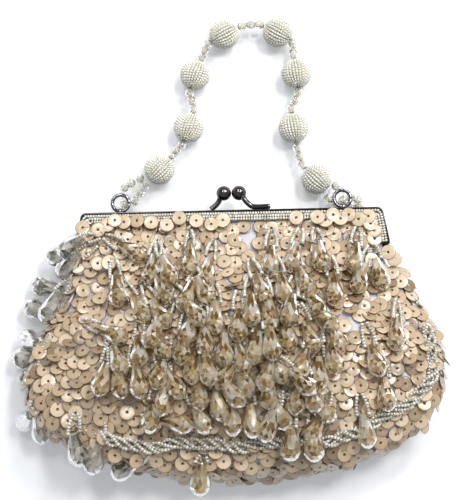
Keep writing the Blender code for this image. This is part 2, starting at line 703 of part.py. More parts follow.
def side_balls(hand, first, others):
    """Middles of one side's balls, out from its ring."""
    x, y, _ = from_ring(hand, (*first, 0))
    plan = [(x, y)] + [(hand * RING_X * share, RING_Y + up * MM) for share, up in others]
    return [np.array((x, y, BALL_RADIUS)) for x, y in plan]


def handle_balls():
    """Middle of each ball, in order along the thread from the left ring."""
    right = side_balls(1, FIRST_BALL_RIGHT, BALLS_RIGHT)
    return side_balls(-1, FIRST_BALL_LEFT, BALLS_LEFT) + right[::-1]


def handle_route():
    """Smooth line of the thread between the end loops, and the way through each ball."""
    centres = handle_balls()
    start, end = from_ring(-1, START_LEFT), from_ring(1, START_RIGHT)
    chain = [start, *centres, end]
    ends = list(zip(chain, chain[2:]))
    ends[0] = (start, centres[0])
    ends[-1] = (centres[-1], end)
    ways = [(b - a) * (1, 1, 0) / np.linalg.norm((b - a) * (1, 1, 0)) for a, b in ends]
    route = [start, centres[0], centres[0] + ways[0] * BALL_STRAIGHT]
    for centre, way in zip(centres[1:-1], ways[1:-1]):
        route += [centre - way * BALL_STRAIGHT, centre, centre + way * BALL_STRAIGHT]
    route += [centres[-1] - ways[-1] * BALL_STRAIGHT, centres[-1], end]
    return smooth_curve(route), centres, ways


def ball(name, centre, way, finish):
    steps = 8
    start = math.asin(BALL_BORE / BALL_RADIUS)
    profile = []
    for i in range(steps + 1):
        turn = start + (math.pi - 2 * start) * i / steps
        profile.append((BALL_RADIUS * math.cos(turn), BALL_RADIUS * math.sin(turn)))
    made = add(name, lathe(profile, 12, closed=True), finish, smooth=True)
    turn_to(made, centre, way)
    return made


def turn_to(piece, place, way):
    """Put a piece at a place with its X axis along a direction."""
    turned = Vector(way).to_track_quat("X", "Z").to_matrix().to_4x4()
    piece.matrix_world = Matrix.Translation(place) @ turned


def spacer(name, curve, start, end, finish):
    """Faceted crystals end to end on a stretch of the thread, bored for it."""
    count = max(round((end - start) / CRYSTAL_LENGTH), 1)
    pitch = (end - start) / count
    spots, radii = [], []
    for i in range(count):
        for share, radius in ((0, CRYSTAL_NECK), (0.3, CRYSTAL_RADIUS), (0.7, CRYSTAL_RADIUS)):
            spots.append(start + pitch * (i + share))
            radii.append(radius)
    spots.append(end)
    radii.append(CRYSTAL_NECK)
    bore = [s for s, r in zip(spots, radii) if r == CRYSTAL_NECK]
    spots += reversed(bore)
    radii += [CRYSTAL_BORE] * len(bore)
    places, ways = zip(*(along(curve, s) for s in spots))
    return add(name, rings_body(tube_rings(places, ways, radii, 7), closed=True), finish)


def end_loop(name, hand, start, places, bare, finish):
    """Closed loop of thread with its crystals, passing through a ring."""
    points = [from_ring(hand, p) for p in [start, *places]]
    curve = smooth_curve(points, per_span=12, closed=True)
    curve = np.vstack([curve, curve[:1]])
    run = lengths(curve)
    half = CRYSTAL_LENGTH * 0.44
    laid = [(*along(curve, 0), THREAD_RADIUS)]
    for i in range(len(places)):
        middle, way = along(curve, run[12 * (i + 1)])
        if i in bare:
            laid.append((middle, way, THREAD_RADIUS))
            continue
        for shift, radius in ((-1, THREAD_RADIUS), (-1, CRYSTAL_NECK), (-0.45, CRYSTAL_RADIUS),
                              (0.45, CRYSTAL_RADIUS), (1, CRYSTAL_NECK), (1, THREAD_RADIUS)):
            laid.append((middle + way * shift * half, way, radius))
    rings = tube_rings(*zip(*laid), 7)
    return add(name, rings_body(rings, closed=True), finish)


def thread(name, curve, finish):
    """Nylon line inside the beads."""
    run = lengths(curve)
    made = bpy.data.curves.new(name, "CURVE")
    made.dimensions = "3D"
    made.bevel_depth = THREAD_RADIUS
    made.bevel_resolution = 2
    made.use_fill_caps = True
    spline = made.splines.new("POLY")
    spline.points.add(THREAD_POINTS - 1)
    clear = THREAD_RADIUS * 2 + GAP
    for point, s in zip(spline.points, np.linspace(clear, run[-1] - clear, THREAD_POINTS)):
        point.co = (*along(curve, s)[0], 1)
    made.materials.append(finish)
    piece = bpy.data.objects.new(name, made)
    bpy.context.collection.objects.link(piece)
    return piece


def handle(pearl, crystal, nylon):
    curve, centres, ways = handle_route()
    run = lengths(curve)
    names = [f"pearl_ball_left_{i + 1}" for i in range(len(BALLS_LEFT) + 1)]
    names += [f"pearl_ball_right_{i + 1}" for i in reversed(range(len(BALLS_RIGHT) + 1))]
    pieces = [ball(n, c, w, pearl) for n, c, w in zip(names, centres, ways)]
    middles = [run[np.argmin(np.linalg.norm(curve - c, axis=1))] for c in centres]
    for i, (a, b) in enumerate(zip(middles, middles[1:])):
        pieces.append(spacer(f"crystal_spacers_{i + 1}", curve, a + BALL_RADIUS + SPACER_END,
                             b - BALL_RADIUS - SPACER_END, crystal))
    pieces.append(end_loop("crystal_loop_left", -1, START_LEFT, LOOP_LEFT, BARE_LEFT, crystal))
    pieces.append(end_loop("crystal_loop_right", 1, START_RIGHT, LOOP_RIGHT, BARE_RIGHT, crystal))
    pieces.append(thread("handle_thread", curve, nylon))
    return pieces


# ---------------------------------------------------------------- fringe

def drop_body():
    """Faceted drop along +X from its collar's end, before its cross hole."""
    wide, collar, length = DROP_RADIUS, DROP_COLLAR, DROP_LENGTH
    profile = [(0, 0), (0, collar * 0.75), (length * 0.05, collar), (length * 0.17, collar),
               (length * 0.24, collar * 0.85), (length * 0.42, wide * 0.58), (length * 0.66, wide),
               (length * 0.8, wide * 0.94), (length, 0)]
    bm = lathe(profile, DROP_SIDES)
    bmesh.ops.rotate(bm, matrix=Matrix.Rotation(math.pi / DROP_SIDES, 3, "X"), verts=bm.verts[:])
    return bm


def fringe_unit(name, apex, hole, direction, crystal, seed):
    """One drop and the loop of seed beads that it hangs on."""
    drop = add(f"fringe_drop_{name}", drop_body(), crystal)
    half_bore = DROP_COLLAR + 2 * SEED_RADIUS
    drill = add("drill", lathe([(-half_bore, 0), (-half_bore, DROP_BORE), (half_bore, DROP_BORE),
                                (half_bore, 0)], 8), crystal)
    drill.matrix_world = Matrix.Translation((DROP_HOLE_BELOW, 0, 0)) @ Matrix.Rotation(
        math.pi / 2, 4, "Z")
    combine(drop, drill, "DIFFERENCE")
    turned = direction.to_track_quat("X", "Z").to_matrix().to_4x4()
    drop.matrix_world = Matrix.Translation(hole - direction * DROP_HOLE_BELOW) @ turned

    across = (turned @ Vector((0, 1, 0, 0))).to_3d()
    reach = DROP_COLLAR + SEED_RADIUS + GAP
    corner = hole + (apex - hole).normalized() * SEED_RADIUS
    strand = [(hole + across * DROP_COLLAR / 2, SEED_THREAD),
              (hole + across * (DROP_COLLAR + 2 * GAP), SEED_THREAD),
              (corner + across * reach, SEED_RADIUS),
              (corner.lerp(apex, 0.5) + across * reach * 0.75, SEED_RADIUS),
              (apex + across * SEED_RADIUS * 2, SEED_RADIUS)]
    route, radii = (list(v) for v in zip(*strand))
    back = [p - across * 2 * (p - corner).dot(across) for p in reversed(route)]
    route += [apex + (apex - hole).normalized() * SEED_RADIUS * 1.4, *back]
    radii += [SEED_RADIUS, *reversed(radii)]
    ways = [Vector(route[(i + 1) % len(route)]) - Vector(route[i - 1]) for i in range(len(route))]
    loop = add(f"fringe_loop_{name}", rings_body(tube_rings(route, ways, radii, 7), closed=True),
               seed, smooth=True)
    return [drop, loop]


def side_fringe(name, spec, crystal, seed):
    """A drop that hangs off the left side of the gusset."""
    t, angle, hole_place, way = spec
    edge, ahead = (gusset_line(-1, place)[1] for place in (t, t + 0.05))
    run = (ahead - edge).normalized()
    outward = Vector((run.y, -run.x))

    def placed(out, forward, up):
        return Vector((*(outward * out + run * forward), up))

    surface, inner = (Vector(gusset_point(-1, t, a)) for a in (angle, angle + 10))
    slope = (surface - inner).normalized()
    normal = slope.cross(Vector((*run, 0)))
    if normal.z < 0:
        normal = -normal
    hole = Vector((*edge, MID_Z)) + placed(*hole_place) * MM
    return fringe_unit(name, surface + normal * (SEED_RADIUS + GAP), hole,
                       placed(*way).normalized(), crystal, seed)


def on_front(x, y):
    """Point of the front panel's outside over a plan point, and the way out of it."""
    def height(x, y):
        rows = panel_rows()
        ys = [(r[0].y + r[1].y) / 2 for r in rows]
        left, right, edge = (np.interp(y, ys, v) for v in (
            [r[0].x for r in rows], [r[1].x for r in rows], [r[2] for r in rows]))
        u = 2 * (x - left) / (right - left) - 1
        return front_z(x, y, u, edge)

    step = 1 * MM
    slope_x = (height(x + step, y) - height(x - step, y)) / (2 * step)
    slope_y = (height(x, y + step) - height(x, y - step)) / (2 * step)
    return Vector((x, y, height(x, y))), Vector((-slope_x, -slope_y, 1)).normalized()


def front_fringe(name, spec, crystal, seed):
    """A drop that lies on the front panel."""
    across, down, heading = spec
    heading = math.radians(heading)
    way = Vector((math.sin(heading), -math.cos(heading)))
    start = Vector((across * ARM_X, HINGE_Y + down * MM))
    lifts = (SEED_RADIUS + 2 * GAP, DROP_COLLAR + 3 * GAP, DROP_RADIUS + 4 * GAP)
    spots = []
    for distance, lift in zip((0, LOOP_LENGTH, LOOP_LENGTH + DROP_LENGTH * 0.6), lifts):
        point, normal = on_front(*(start + way * distance))
        spots.append(point + normal * lift)
    apex, hole, wide = spots
    return fringe_unit(name, apex, hole, (wide - hole).normalized(), crystal, seed)


# ---------------------------------------------------------------- assembly

def carry(name, place, pieces):
    """Parent pieces, where they are, to an empty on their joint's axis."""
    empty = bpy.data.objects.new(name, None)
    empty.location = place
    bpy.context.collection.objects.link(empty)
    bpy.context.view_layer.update()
    for piece in pieces:
        piece.parent = empty
        piece.matrix_parent_inverse = empty.matrix_world.inverted()


def build():
    for old in list(bpy.data.objects):
        bpy.data.objects.remove(old)

    gunmetal = material("gunmetal", (0.13, 0.13, 0.14), 0.18, metallic=1)
    polished = material("polished_nickel", (0.42, 0.42, 0.43), 0.15, metallic=1)
    sequin = material("sequin_cloth", (0.80, 0.56, 0.37), 0.35)
    satin = material("satin_lining", (0.82, 0.80, 0.80), 0.5)
    pearl = material("pearl_seed_beads", (0.82, 0.80, 0.66), 0.3)
    silver_seed = material("silver_seed_beads", (0.75, 0.75, 0.72), 0.25, metallic=0.5)
    crystal = material("clear_crystal", (0.9, 0.9, 0.88), 0.05, transmission=0.9)
    nylon = material("nylon_thread", (0.85, 0.85, 0.85), 0.3)

    front, _ = frame_halves(gunmetal)
    for hand, side in ((-1, "left"), (1, "right")):
        rivet(f"hinge_rivet_{side}", hand, polished)
        lug(f"ring_lug_{side}", hand * RING_X, polished)
    ball_x = LOCK_BALL_RADIUS + GAP / 2
    ball_back = lock_ball("lock_ball_back", -ball_x, gunmetal)
    ball_front = lock_ball("lock_ball_front", ball_x, gunmetal)
    lock_arm("lock_arm_back", -1, ball_back, gunmetal)
    arm_front = lock_arm("lock_arm_front", 1, ball_front, gunmetal)

    cloths = pouch(sequin, satin)
    band_front = bead_band("bead_band_front", 1, silver_seed)
    bead_band("bead_band_back", -1, silver_seed)
    braid("seam_braid", silver_seed)
    for name, spec in SIDE_FRINGE.items():
        side_fringe(name, spec, crystal, silver_seed)
    for name, spec in FRONT_FRINGE.items():
        front_fringe(name, spec, crystal, silver_seed)

    carry("front_half_axis", (0, HINGE_Y, MID_Z),
          [front, arm_front, ball_front, cloths["front_flap"], cloths["lining_front_flap"],
           band_front])
    ring("handle_ring_left", -RING_X, polished)
    ring("handle_ring_right", RING_X, polished)
    carry("handle_axis", (-RING_X, LUG_Y + 2 * RING_RADIUS, RING_Z),
          handle(pearl, crystal, nylon))


build()
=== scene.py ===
"""Looks of the beaded evening bag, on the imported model's frame. Lengths are metres."""

import itertools
from math import asin, cos, pi, radians, sin, sqrt, tan, tau

import bmesh
import bpy
import numpy as np
from mathutils import Matrix, Vector
from mathutils.bvhtree import BVHTree
from numpy.linalg import norm, svd


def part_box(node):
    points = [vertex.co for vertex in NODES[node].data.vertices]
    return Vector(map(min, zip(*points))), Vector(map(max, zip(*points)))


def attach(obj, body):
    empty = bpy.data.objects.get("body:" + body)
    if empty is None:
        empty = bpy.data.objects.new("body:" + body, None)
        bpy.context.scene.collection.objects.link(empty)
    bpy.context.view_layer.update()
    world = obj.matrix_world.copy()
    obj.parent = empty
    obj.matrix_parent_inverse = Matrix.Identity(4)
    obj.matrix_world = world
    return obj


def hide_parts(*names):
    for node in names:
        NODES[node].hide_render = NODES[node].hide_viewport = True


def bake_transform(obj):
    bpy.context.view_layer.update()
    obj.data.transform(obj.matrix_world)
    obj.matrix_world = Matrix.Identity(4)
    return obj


MM = 0.001
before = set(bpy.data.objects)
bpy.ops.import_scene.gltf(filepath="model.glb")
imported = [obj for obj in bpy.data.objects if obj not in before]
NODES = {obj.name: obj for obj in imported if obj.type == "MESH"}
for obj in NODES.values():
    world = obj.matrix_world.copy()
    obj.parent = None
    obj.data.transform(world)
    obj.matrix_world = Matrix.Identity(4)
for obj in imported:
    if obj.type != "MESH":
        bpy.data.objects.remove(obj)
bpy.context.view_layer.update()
rng = np.random.default_rng(11)
DOWN = Vector((0, 0, -1))


# ---- objects and camera

def add_object(name, data):
    made = bpy.data.objects.new(name, data)
    bpy.context.collection.objects.link(made)
    return made


def shade(mesh, smooth=True):
    mesh.polygons.foreach_set("use_smooth", [smooth] * len(mesh.polygons))


def mesh_piece(name, finish, source, smooth=True):
    """An object of one material, from a bmesh or from a pair of verts and faces."""
    mesh = bpy.data.meshes.new(name)
    if isinstance(source, tuple):
        mesh.from_pydata(source[0], [], source[1])
        shade(mesh, smooth)
    else:
        source.to_mesh(mesh)
        source.free()
    mesh.materials.append(finish)
    return add_object(name, mesh)


def dress(piece, slot_name, body, *replaced):
    """Attach a piece to the body that it moves with and hide the CAD nodes that it stands for;
    slot_name, what it is made of, is not used.

    Without a body it is cloth, or sewn on it, and its place is baked into its mesh.
    """
    if body:
        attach(piece, body)
    else:
        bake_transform(piece)
    if replaced:
        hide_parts(*replaced)
    return piece


def add_camera():
    """The photograph's view, from nearly straight above."""
    data = bpy.data.cameras.new("camera")
    data.lens, data.sensor_width, data.clip_start = 78.62, 36, 0.01
    camera = add_object("camera", data)
    across = Vector((0.9997707, -0.02120516, -0.00298019))
    up = Vector((0.02141355, 0.990041, 0.13914119))
    turned = Matrix((across, up, across.cross(up))).transposed().to_4x4()
    camera.matrix_world = Matrix.Translation((-0.0018, -0.02604521, 0.56064744)) @ turned
    bpy.context.scene.camera = camera


# ---- curves

def between(a, b, low, high, t):
    """Value at t on the straight run from a at low to b at high."""
    return (high - t) / (high - low) * a + (t - low) / (high - low) * b


def smooth_curve(points, per_span=8, closed=False):
    """Centripetal Catmull-Rom curve through the points."""
    points = [np.array(p, float) for p in points]
    if closed:
        ring = [points[-1], *points, points[0], points[1]]
    else:
        ring = [2 * points[0] - points[1], *points, 2 * points[-1] - points[-2]]
    out = []
    for p0, p1, p2, p3 in zip(ring, ring[1:], ring[2:], ring[3:]):
        spans = norm([p1 - p0, p2 - p1, p3 - p2], axis=1)
        t1, t2, t3 = np.cumsum(np.maximum(spans ** 0.5, 1e-9))
        for i in range(per_span):
            t = t1 + (t2 - t1) * i / per_span
            a1, a2 = between(p0, p1, 0, t1, t), between(p1, p2, t1, t2, t)
            a3 = between(p2, p3, t2, t3, t)
            b1, b2 = between(a1, a2, 0, t2, t), between(a2, a3, t1, t3, t)
            out.append(between(b1, b2, t1, t2, t))
    if not closed:
        out.append(points[-1])
    return np.array(out)


def lengths(curve):
    """Length of a curve up to each of its points."""
    return np.concatenate([[0], np.cumsum(norm(np.diff(curve, axis=0), axis=1))])


def along(curve, run, s):
    """Point and direction at the length s of a curve."""
    point = np.array([np.interp(s, run, curve[:, i]) for i in range(3)])
    i = int(np.clip(np.searchsorted(run, s), 1, len(run) - 1))
    way = curve[i] - curve[i - 1]
    return point, way / norm(way)


# ---- materials

WHITE = (1, 1, 1)


def srgb(*shares):
    """Linear colour of a screen colour, given in shares of 255."""
    return tuple((c / 255 / 12.92 if c < 11 else ((c / 255 + 0.055) / 1.055) ** 2.4) for c in shares)


class Nodes:
    """A shader node tree and short ways to wire it."""

    def __init__(self, tree):
        self.tree = tree

    def node(self, kind, settings=None, **inputs):
        """A new node. An input i0, i1 and so on is named by its number."""
        made = self.tree.nodes.new(kind)
        for key, value in (settings or {}).items():
            setattr(made, key, value)
        for key, value in inputs.items():
            by_number = key[0] == "i" and key[1:].isdigit()
            socket = made.inputs[int(key[1:]) if by_number else key.replace("_", " ")]
            self.feed(socket, value)
        return made

    def feed(self, socket, value):
        if isinstance(value, bpy.types.NodeSocket):
            self.tree.links.new(value, socket)
        else:
            socket.default_value = value

    def math(self, operation, a, b=0.0):
        return self.node("ShaderNodeMath", {"operation": operation}, i0=a, i1=b).outputs[0]

    def mix(self, factor, a, b, blend="MIX"):
        made = self.node("ShaderNodeMix", {"data_type": "RGBA", "blend_type": blend}, i0=factor,
                         i6=a, i7=b)
        return made.outputs[2]

    def ramp(self, factor, *stops):
        made = self.node("ShaderNodeValToRGB", i0=factor)
        elements = made.color_ramp.elements
        while len(elements) < len(stops):
            elements.new(0.5)
        for element, (place, colour) in zip(elements, stops):
            element.position = place
            element.color = (*colour, 1)
        return made.outputs[0]

    def range(self, value, low, high, start=0.0, stop=1.0):
        return self.node("ShaderNodeMapRange", i0=value, i1=start, i2=stop, i3=low, i4=high).outputs[0]

    def place(self, kind="Object"):
        return self.node("ShaderNodeTexCoord").outputs[kind]

    def size(self, vector):
        made = self.node("ShaderNodeVectorMath", {"operation": "LENGTH"}, i0=vector)
        return made.outputs["Value"]

    def noise(self, scale, detail=4.0, roughness=0.55, place=None):
        return self.node("ShaderNodeTexNoise", Vector=place or self.place(), Scale=scale,
                         Detail=detail, Roughness=roughness).outputs["Fac"]

    def seen(self):
        """1 for rays from the camera and through glass or off metal, 0 for the light itself."""
        path = self.node("ShaderNodeLightPath").outputs
        clear = self.math("MAXIMUM", path["Is Glossy Ray"], path["Is Transmission Ray"])
        return self.math("MAXIMUM", path["Is Camera Ray"], clear)


class Finish(Nodes):
    """A Principled material."""

    def __init__(self, name, **sockets):
        self.material = bpy.data.materials.new(name)
        self.material.use_nodes = True
        super().__init__(self.material.node_tree)
        self.shader = self.tree.nodes["Principled BSDF"]
        self.set(**sockets)

    def set(self, **sockets):
        for key, value in sockets.items():
            self.feed(self.shader.inputs[key.replace("_", " ")], value)

    def tint(self):
        """Three random shares that a batch gives to each of its copies."""
        made = self.node("ShaderNodeAttribute", {"attribute_name": "tint"})
        return self.node("ShaderNodeSeparateColor", i0=made.outputs["Color"]).outputs

    def bump(self, height, distance, strength=1.0):
        made = self.node("ShaderNodeBump", Height=height, Distance=distance, Strength=strength)
        self.set(Normal=made.outputs[0])


def metal(name, colour, low, high):
    made = Finish(name, Metallic=1.0)
    smudge = made.ramp(made.noise(180, 5), (0.3, tuple(c * 0.8 for c in colour)), (0.7, colour))
    made.set(Base_Color=smudge, Roughness=made.range(made.noise(420, 6, 0.7), low, high))
    made.bump(made.noise(2600, 3), 0.00002, 0.4)
    return made.material


def sequin_finish():
    """Champagne film with faint turned rings, painted shade around the thread hole, and a dark brown
    edge that is partly the film's own edge colour and partly painted shade where sequins overlap.
    """
    made = Finish("sequin_film", Coat_Weight=0.7, Coat_Roughness=0.14, IOR=1.49)
    light, warm, gloss = made.tint()
    tone = made.ramp(light, (0.0, srgb(148, 130, 106)), (0.45, srgb(198, 181, 155)),
                      (1.0, srgb(228, 215, 195)))
    cool = made.ramp(warm, (0.0, srgb(255, 248, 238)), (1.0, srgb(255, 242, 230)))
    radius = made.size(made.node("ShaderNodeUVMap").outputs[0])
    rings = made.math("SINE", made.math("MULTIPLY", radius, 46.0))
    # Painted shade around the thread hole; the dark brown edge is partly the film's own edge colour,
    # partly painted shade where sequins overlap
    shade_and_edge_colour = made.ramp(radius, (0.15, (0.2, 0.13, 0.09)), (0.2, WHITE), (0.84, WHITE),
                     (0.92, (0.36, 0.2, 0.11)))
    film = made.mix(1.0, made.mix(1.0, tone, cool, "MULTIPLY"), shade_and_edge_colour, "MULTIPLY")
    made.set(Base_Color=film, Roughness=made.range(gloss, 0.16, 0.42))
    made.bump(made.math("MULTIPLY_ADD", rings, 0.5), 0.00006, 0.5)
    return made.material


def cloth_finish(name, light, dark, roughness):
    """Satin weave, in threads about a third of a millimetre wide."""
    made = Finish(name, Roughness=roughness, Sheen_Weight=0.35, Sheen_Roughness=0.4)
    warp, weft = (made.node("ShaderNodeTexWave", {"bands_direction": way}, Vector=made.place(),
                            Scale=480.0, Distortion=1.2, Detail=2.0).outputs["Fac"] for way in "XY")
    weave = made.math("ADD", made.math("MULTIPLY", warp, 0.6), made.math("MULTIPLY", weft, 0.4))
    tone = made.math("ADD", made.math("MULTIPLY", weave, 0.35),
                     made.math("MULTIPLY", made.noise(60), 0.75))
    made.set(Base_Color=made.ramp(tone, (0.25, dark), (0.8, light)))
    made.bump(weave, 0.00008, 0.6)
    return made.material


def bead_finish(name, roughness, dark, middle, light, metallic=0.0, coat=0.8):
    made = Finish(name, Metallic=metallic, Coat_Weight=coat, Coat_Roughness=0.06, IOR=1.5)
    share, _, gloss = made.tint()
    made.set(Base_Color=made.ramp(share, (0.0, srgb(*dark)), (0.5, srgb(*middle)),
                                  (1.0, srgb(*light))),
             Roughness=made.range(gloss, roughness * 0.7, roughness * 1.4))
    made.bump(made.noise(1500, 2), 0.00003, 0.3)
    return made.material


def crystal_finish(name, colour, roughness, bending=1.49, shade_tone=None, clear=1.0):
    """Clear plastic. Given a shade tone, each flat facet gets its own tone from it through the colour
    to near white, as painted dark streaks and glints, and the outline darkens towards it at grazing
    angles, as painted shade.
    """
    made = Finish(name, Transmission_Weight=clear, IOR=bending)
    tone = made.ramp(made.noise(90, 2), (0.2, tuple(c * 0.94 for c in colour)), (0.7, colour))
    if shade_tone:
        # Painted dark streaks and glints: each facet takes a tone from the shade tone through the
        # colour to near white
        facet = made.noise(7.0, 1.0, 0.5, made.place("Normal"))
        tone = made.ramp(facet, (0.38, shade_tone), (0.52, colour), (0.66, (1, 0.98, 0.92)))
        # Painted shade: the outline darkens towards the shade tone at grazing angles
        grazing = made.node("ShaderNodeLayerWeight", Blend=0.45).outputs["Facing"]
        rim = made.ramp(grazing, (0.3, WHITE), (0.7, shade_tone))
        tone = made.mix(1.0, tone, rim, "MULTIPLY")
    made.set(Base_Color=tone,
             Roughness=made.range(made.noise(700, 4), roughness * 0.5, roughness * 1.6))
    made.bump(made.noise(1100, 2), 0.00002, 0.25)
    return made.material


GUNMETAL = metal("gunmetal", srgb(84, 81, 82), 0.1, 0.22)
LOCK_METAL = metal("gunmetal_polished", srgb(112, 107, 106), 0.04, 0.09)
NICKEL = metal("polished_nickel", srgb(142, 142, 146), 0.06, 0.15)
SEQUIN = sequin_finish()
SATIN = cloth_finish("white_satin", srgb(226, 224, 232), srgb(190, 188, 201), 0.42)
LINING = cloth_finish("lining_satin", srgb(238, 232, 226), srgb(212, 204, 198), 0.38)
SILVER = bead_finish("silver_seed_beads", 0.2, (182, 178, 163), (216, 213, 201),
                     (243, 241, 235), metallic=0.15, coat=1.0)
CREAM = bead_finish("cream_seed_beads", 0.3, (212, 208, 190), (242, 240, 228), (254, 253, 248))
PEARL = bead_finish("pearl_seed_beads", 0.24, (196, 191, 158), (252, 250, 234), (255, 254, 250))
CRYSTAL = crystal_finish("clear_crystal", srgb(240, 237, 227), 0.06, 1.32, srgb(192, 187, 172), 0.74)
# The same clear drops in two tints, champagne and darker on the front and grey off the edges: painted
# shade and the colour of what lies behind them
DROP = crystal_finish("clear_drop", srgb(226, 203, 156), 0.06, 1.3, srgb(128, 100, 60), 0.66)
EDGE_DROP = crystal_finish("clear_edge_drop", srgb(206, 204, 195), 0.04, 1.3, srgb(104, 102, 94), 0.68)
NYLON = crystal_finish("nylon_thread", srgb(244, 244, 240), 0.2)


# ---- templates and batches

def lathe(profile, sides, turned=(), closed=False):
    """Turn (x, radius) pairs about X. Rings whose index is in turned are set half a side round."""
    verts, faces, rings = [], [], []
    for i, (x, r) in enumerate(profile):
        if r < 1e-9:
            rings.append([len(verts)])
            verts.append((x, 0, 0))
            continue
        shift = 0.5 if i in turned else 0
        rings.append(list(range(len(verts), len(verts) + sides)))
        for k in range(sides):
            a = tau * (k + shift) / sides
            verts.append((x, r * cos(a), r * sin(a)))
    pairs = list(zip(range(len(rings)), range(1, len(rings))))
    if closed:
        pairs.append((len(rings) - 1, 0))
    for i, j in pairs:
        a, b = rings[i], rings[j]
        for k in range(sides):
            n = (k + 1) % sides
            if len(a) == 1:
                faces.append((a[0], b[k], b[n]))
            elif len(b) == 1:
                faces.append((a[n], a[k], b[0]))
            elif (i in turned) == (j in turned):
                faces.append((a[n], a[k], b[k], b[n]))
            elif j in turned:
                faces += [(a[n], a[k], b[k]), (a[n], b[k], b[n])]
            else:
                faces += [(a[k], b[k], b[n]), (a[k], b[n], a[n])]
    if not closed:
        faces += [tuple(ring) for ring in (rings[0], rings[-1][::-1]) if len(ring) > 1]
    return np.array(verts), faces


def sequin_template():
    radii = [(0.5, 0.02), (0.75, 0.05), (3.3, 0.05), (3.72, -0.02), (3.72, -0.1), (0.5, -0.09)]
    verts, faces = lathe([(z * MM, r * MM) for r, z in radii], 20, closed=True)
    return verts, [f[::-1] for f in faces]


# Beads as shares of half their length and of their radius
ROUND_BEAD = [(-1, 0.35), (-0.85, 0.78), (0, 1), (0.85, 0.78), (1, 0.35)]
SHORT_BEAD = [(-1, 0.5), (-0.4, 1), (0.4, 1), (1, 0.5)]
COLUMN_BEAD = [(-1, 0.76), (-0.5, 1), (0.5, 1), (1, 0.76)]
CUT_CRYSTAL = [(-1, 0.45), (-0.72, 0.8), (-0.25, 1), (0.25, 1), (0.72, 0.8), (1, 0.45)]


def bead_template(shares, radius, length, sides=8):
    return lathe([(x * length / 2, r * radius) for x, r in shares], sides, closed=True)


def round_profile(radius, start, count):
    """Profile of a ball, from a turn of start off one pole to the same off the other."""
    turns = np.linspace(start, pi - start, count)
    return [(-radius * cos(t), radius * sin(t)) for t in turns]


def crystal_template(radius, length):
    return lathe([(x * length / 2, r * radius) for x, r in CUT_CRYSTAL], 10, turned=(1, 3, 5))


def drop_template():
    profile = [(0, 1.5), (0.5, 2.05), (3.2, 2.65), (6.0, 3.45), (8.8, 4.3), (11.2, 4.85),
               (13.1, 4.65), (14.9, 3.6), (16.4, 1.8), (17.1, 0)]
    return lathe([(x * MM, r * MM) for x, r in profile], 12, turned=(4, 6, 8))


# The radius at which a copy's UV place is 1 from its middle
UV_SPAN = 4 * MM


class Batch:
    """Many placed copies of small shapes, gathered into one mesh."""

    def __init__(self):
        self.verts, self.faces, self.tints, self.places, self.count = [], [], [], [], 0

    def add(self, template, place, axes, tint=None, scale=1.0):
        """axes is a 3x3 array whose columns are where the template's X, Y and Z go."""
        verts, faces = template
        self.verts.append(verts * scale @ np.array(axes).T + np.array(place))
        self.faces += [tuple(v + self.count for v in face) for face in faces]
        if tint is None:
            tint = rng.random(3)
        self.tints.append(np.tile((*tint, 1), (len(verts), 1)))
        self.places.append(verts[:, 1:] / UV_SPAN)
        self.count += len(verts)

    def build(self, name, finish, slot_name, body, *replaced, smooth=True):
        piece = mesh_piece(name, finish, (np.vstack(self.verts).tolist(), self.faces), smooth)
        mesh = piece.data
        tint = mesh.attributes.new("tint", "FLOAT_COLOR", "POINT")
        tint.data.foreach_set("color", np.vstack(self.tints).ravel())
        corners = np.empty(len(mesh.loops), int)
        mesh.loops.foreach_get("vertex_index", corners)
        layer = mesh.uv_layers.new(name="UVMap")
        layer.data.foreach_set("uv", np.vstack(self.places)[corners].ravel())
        mesh.update()
        return dress(piece, slot_name, body, *replaced)


def axes_along(way, up=(0, 0, 1), roll=0.0):
    """Axes with X along way, and Z as near to up as it can be, then rolled about X."""
    x = np.array(way, float)
    x /= norm(x)
    z = np.array(up, float) - x * np.dot(up, x)
    if norm(z) < 1e-6:
        z = np.array((0, 1, 0)) - x * x[1]
    z /= norm(z)
    y = np.cross(z, x)
    c, s = cos(roll), sin(roll)
    return np.column_stack([x, y * c + z * s, z * c - y * s])


def string_beads(batch, template, pitch, curve, wobble, ends=0.0):
    """Beads threaded side by side along a curve."""
    run = lengths(curve)
    count = max(int((run[-1] - 2 * ends) / pitch), 1)
    first = (run[-1] - (count - 1) * pitch) / 2
    for i in range(count):
        point, way = along(curve, run, first + i * pitch)
        way = way + rng.normal(0, wobble, 3)
        batch.add(template, point, axes_along(way, roll=rng.random() * 6),
                  scale=1 + rng.normal(0, 0.03))


# ---- CAD surfaces

def node_points(name):
    return np.array([tuple(v.co) for v in NODES[name].data.vertices])


def cad_mesh(name):
    """Welded copy of a CAD node's mesh."""
    bm = bmesh.new()
    bm.from_mesh(NODES[name].data)
    bmesh.ops.remove_doubles(bm, verts=bm.verts[:], dist=1e-6)
    return bm


def cad_copy(node, ending, finish, grow=0.0):
    """A copy of a CAD node with its surface moved out along its normals."""
    bm = cad_mesh(node)
    bm.normal_update()
    for vert in bm.verts:
        vert.co += vert.normal * grow
    return mesh_piece(f"{node}_{ending}", finish, bm)


def modify(piece, kind, **settings):
    """Put one modifier on a piece and apply it."""
    made = piece.modifiers.new(kind.lower(), kind)
    for key, value in settings.items():
        setattr(made, key, value)
    bpy.context.view_layer.update()
    graph = bpy.context.evaluated_depsgraph_get()
    fresh = bpy.data.meshes.new_from_object(piece.evaluated_get(graph))
    piece.modifiers.clear()
    piece.data = fresh
    return piece


def bevelled(node, finish, slot_name, body, width):
    """Stand-in for a CAD node, with softened edges."""
    piece = modify(cad_copy(node, "fine", finish), "BEVEL", width=width, segments=2,
                   limit_method="ANGLE", angle_limit=radians(35))
    shade(piece.data)
    piece.data.set_sharp_from_angle(angle=radians(38))
    dress(piece, slot_name, body, node)


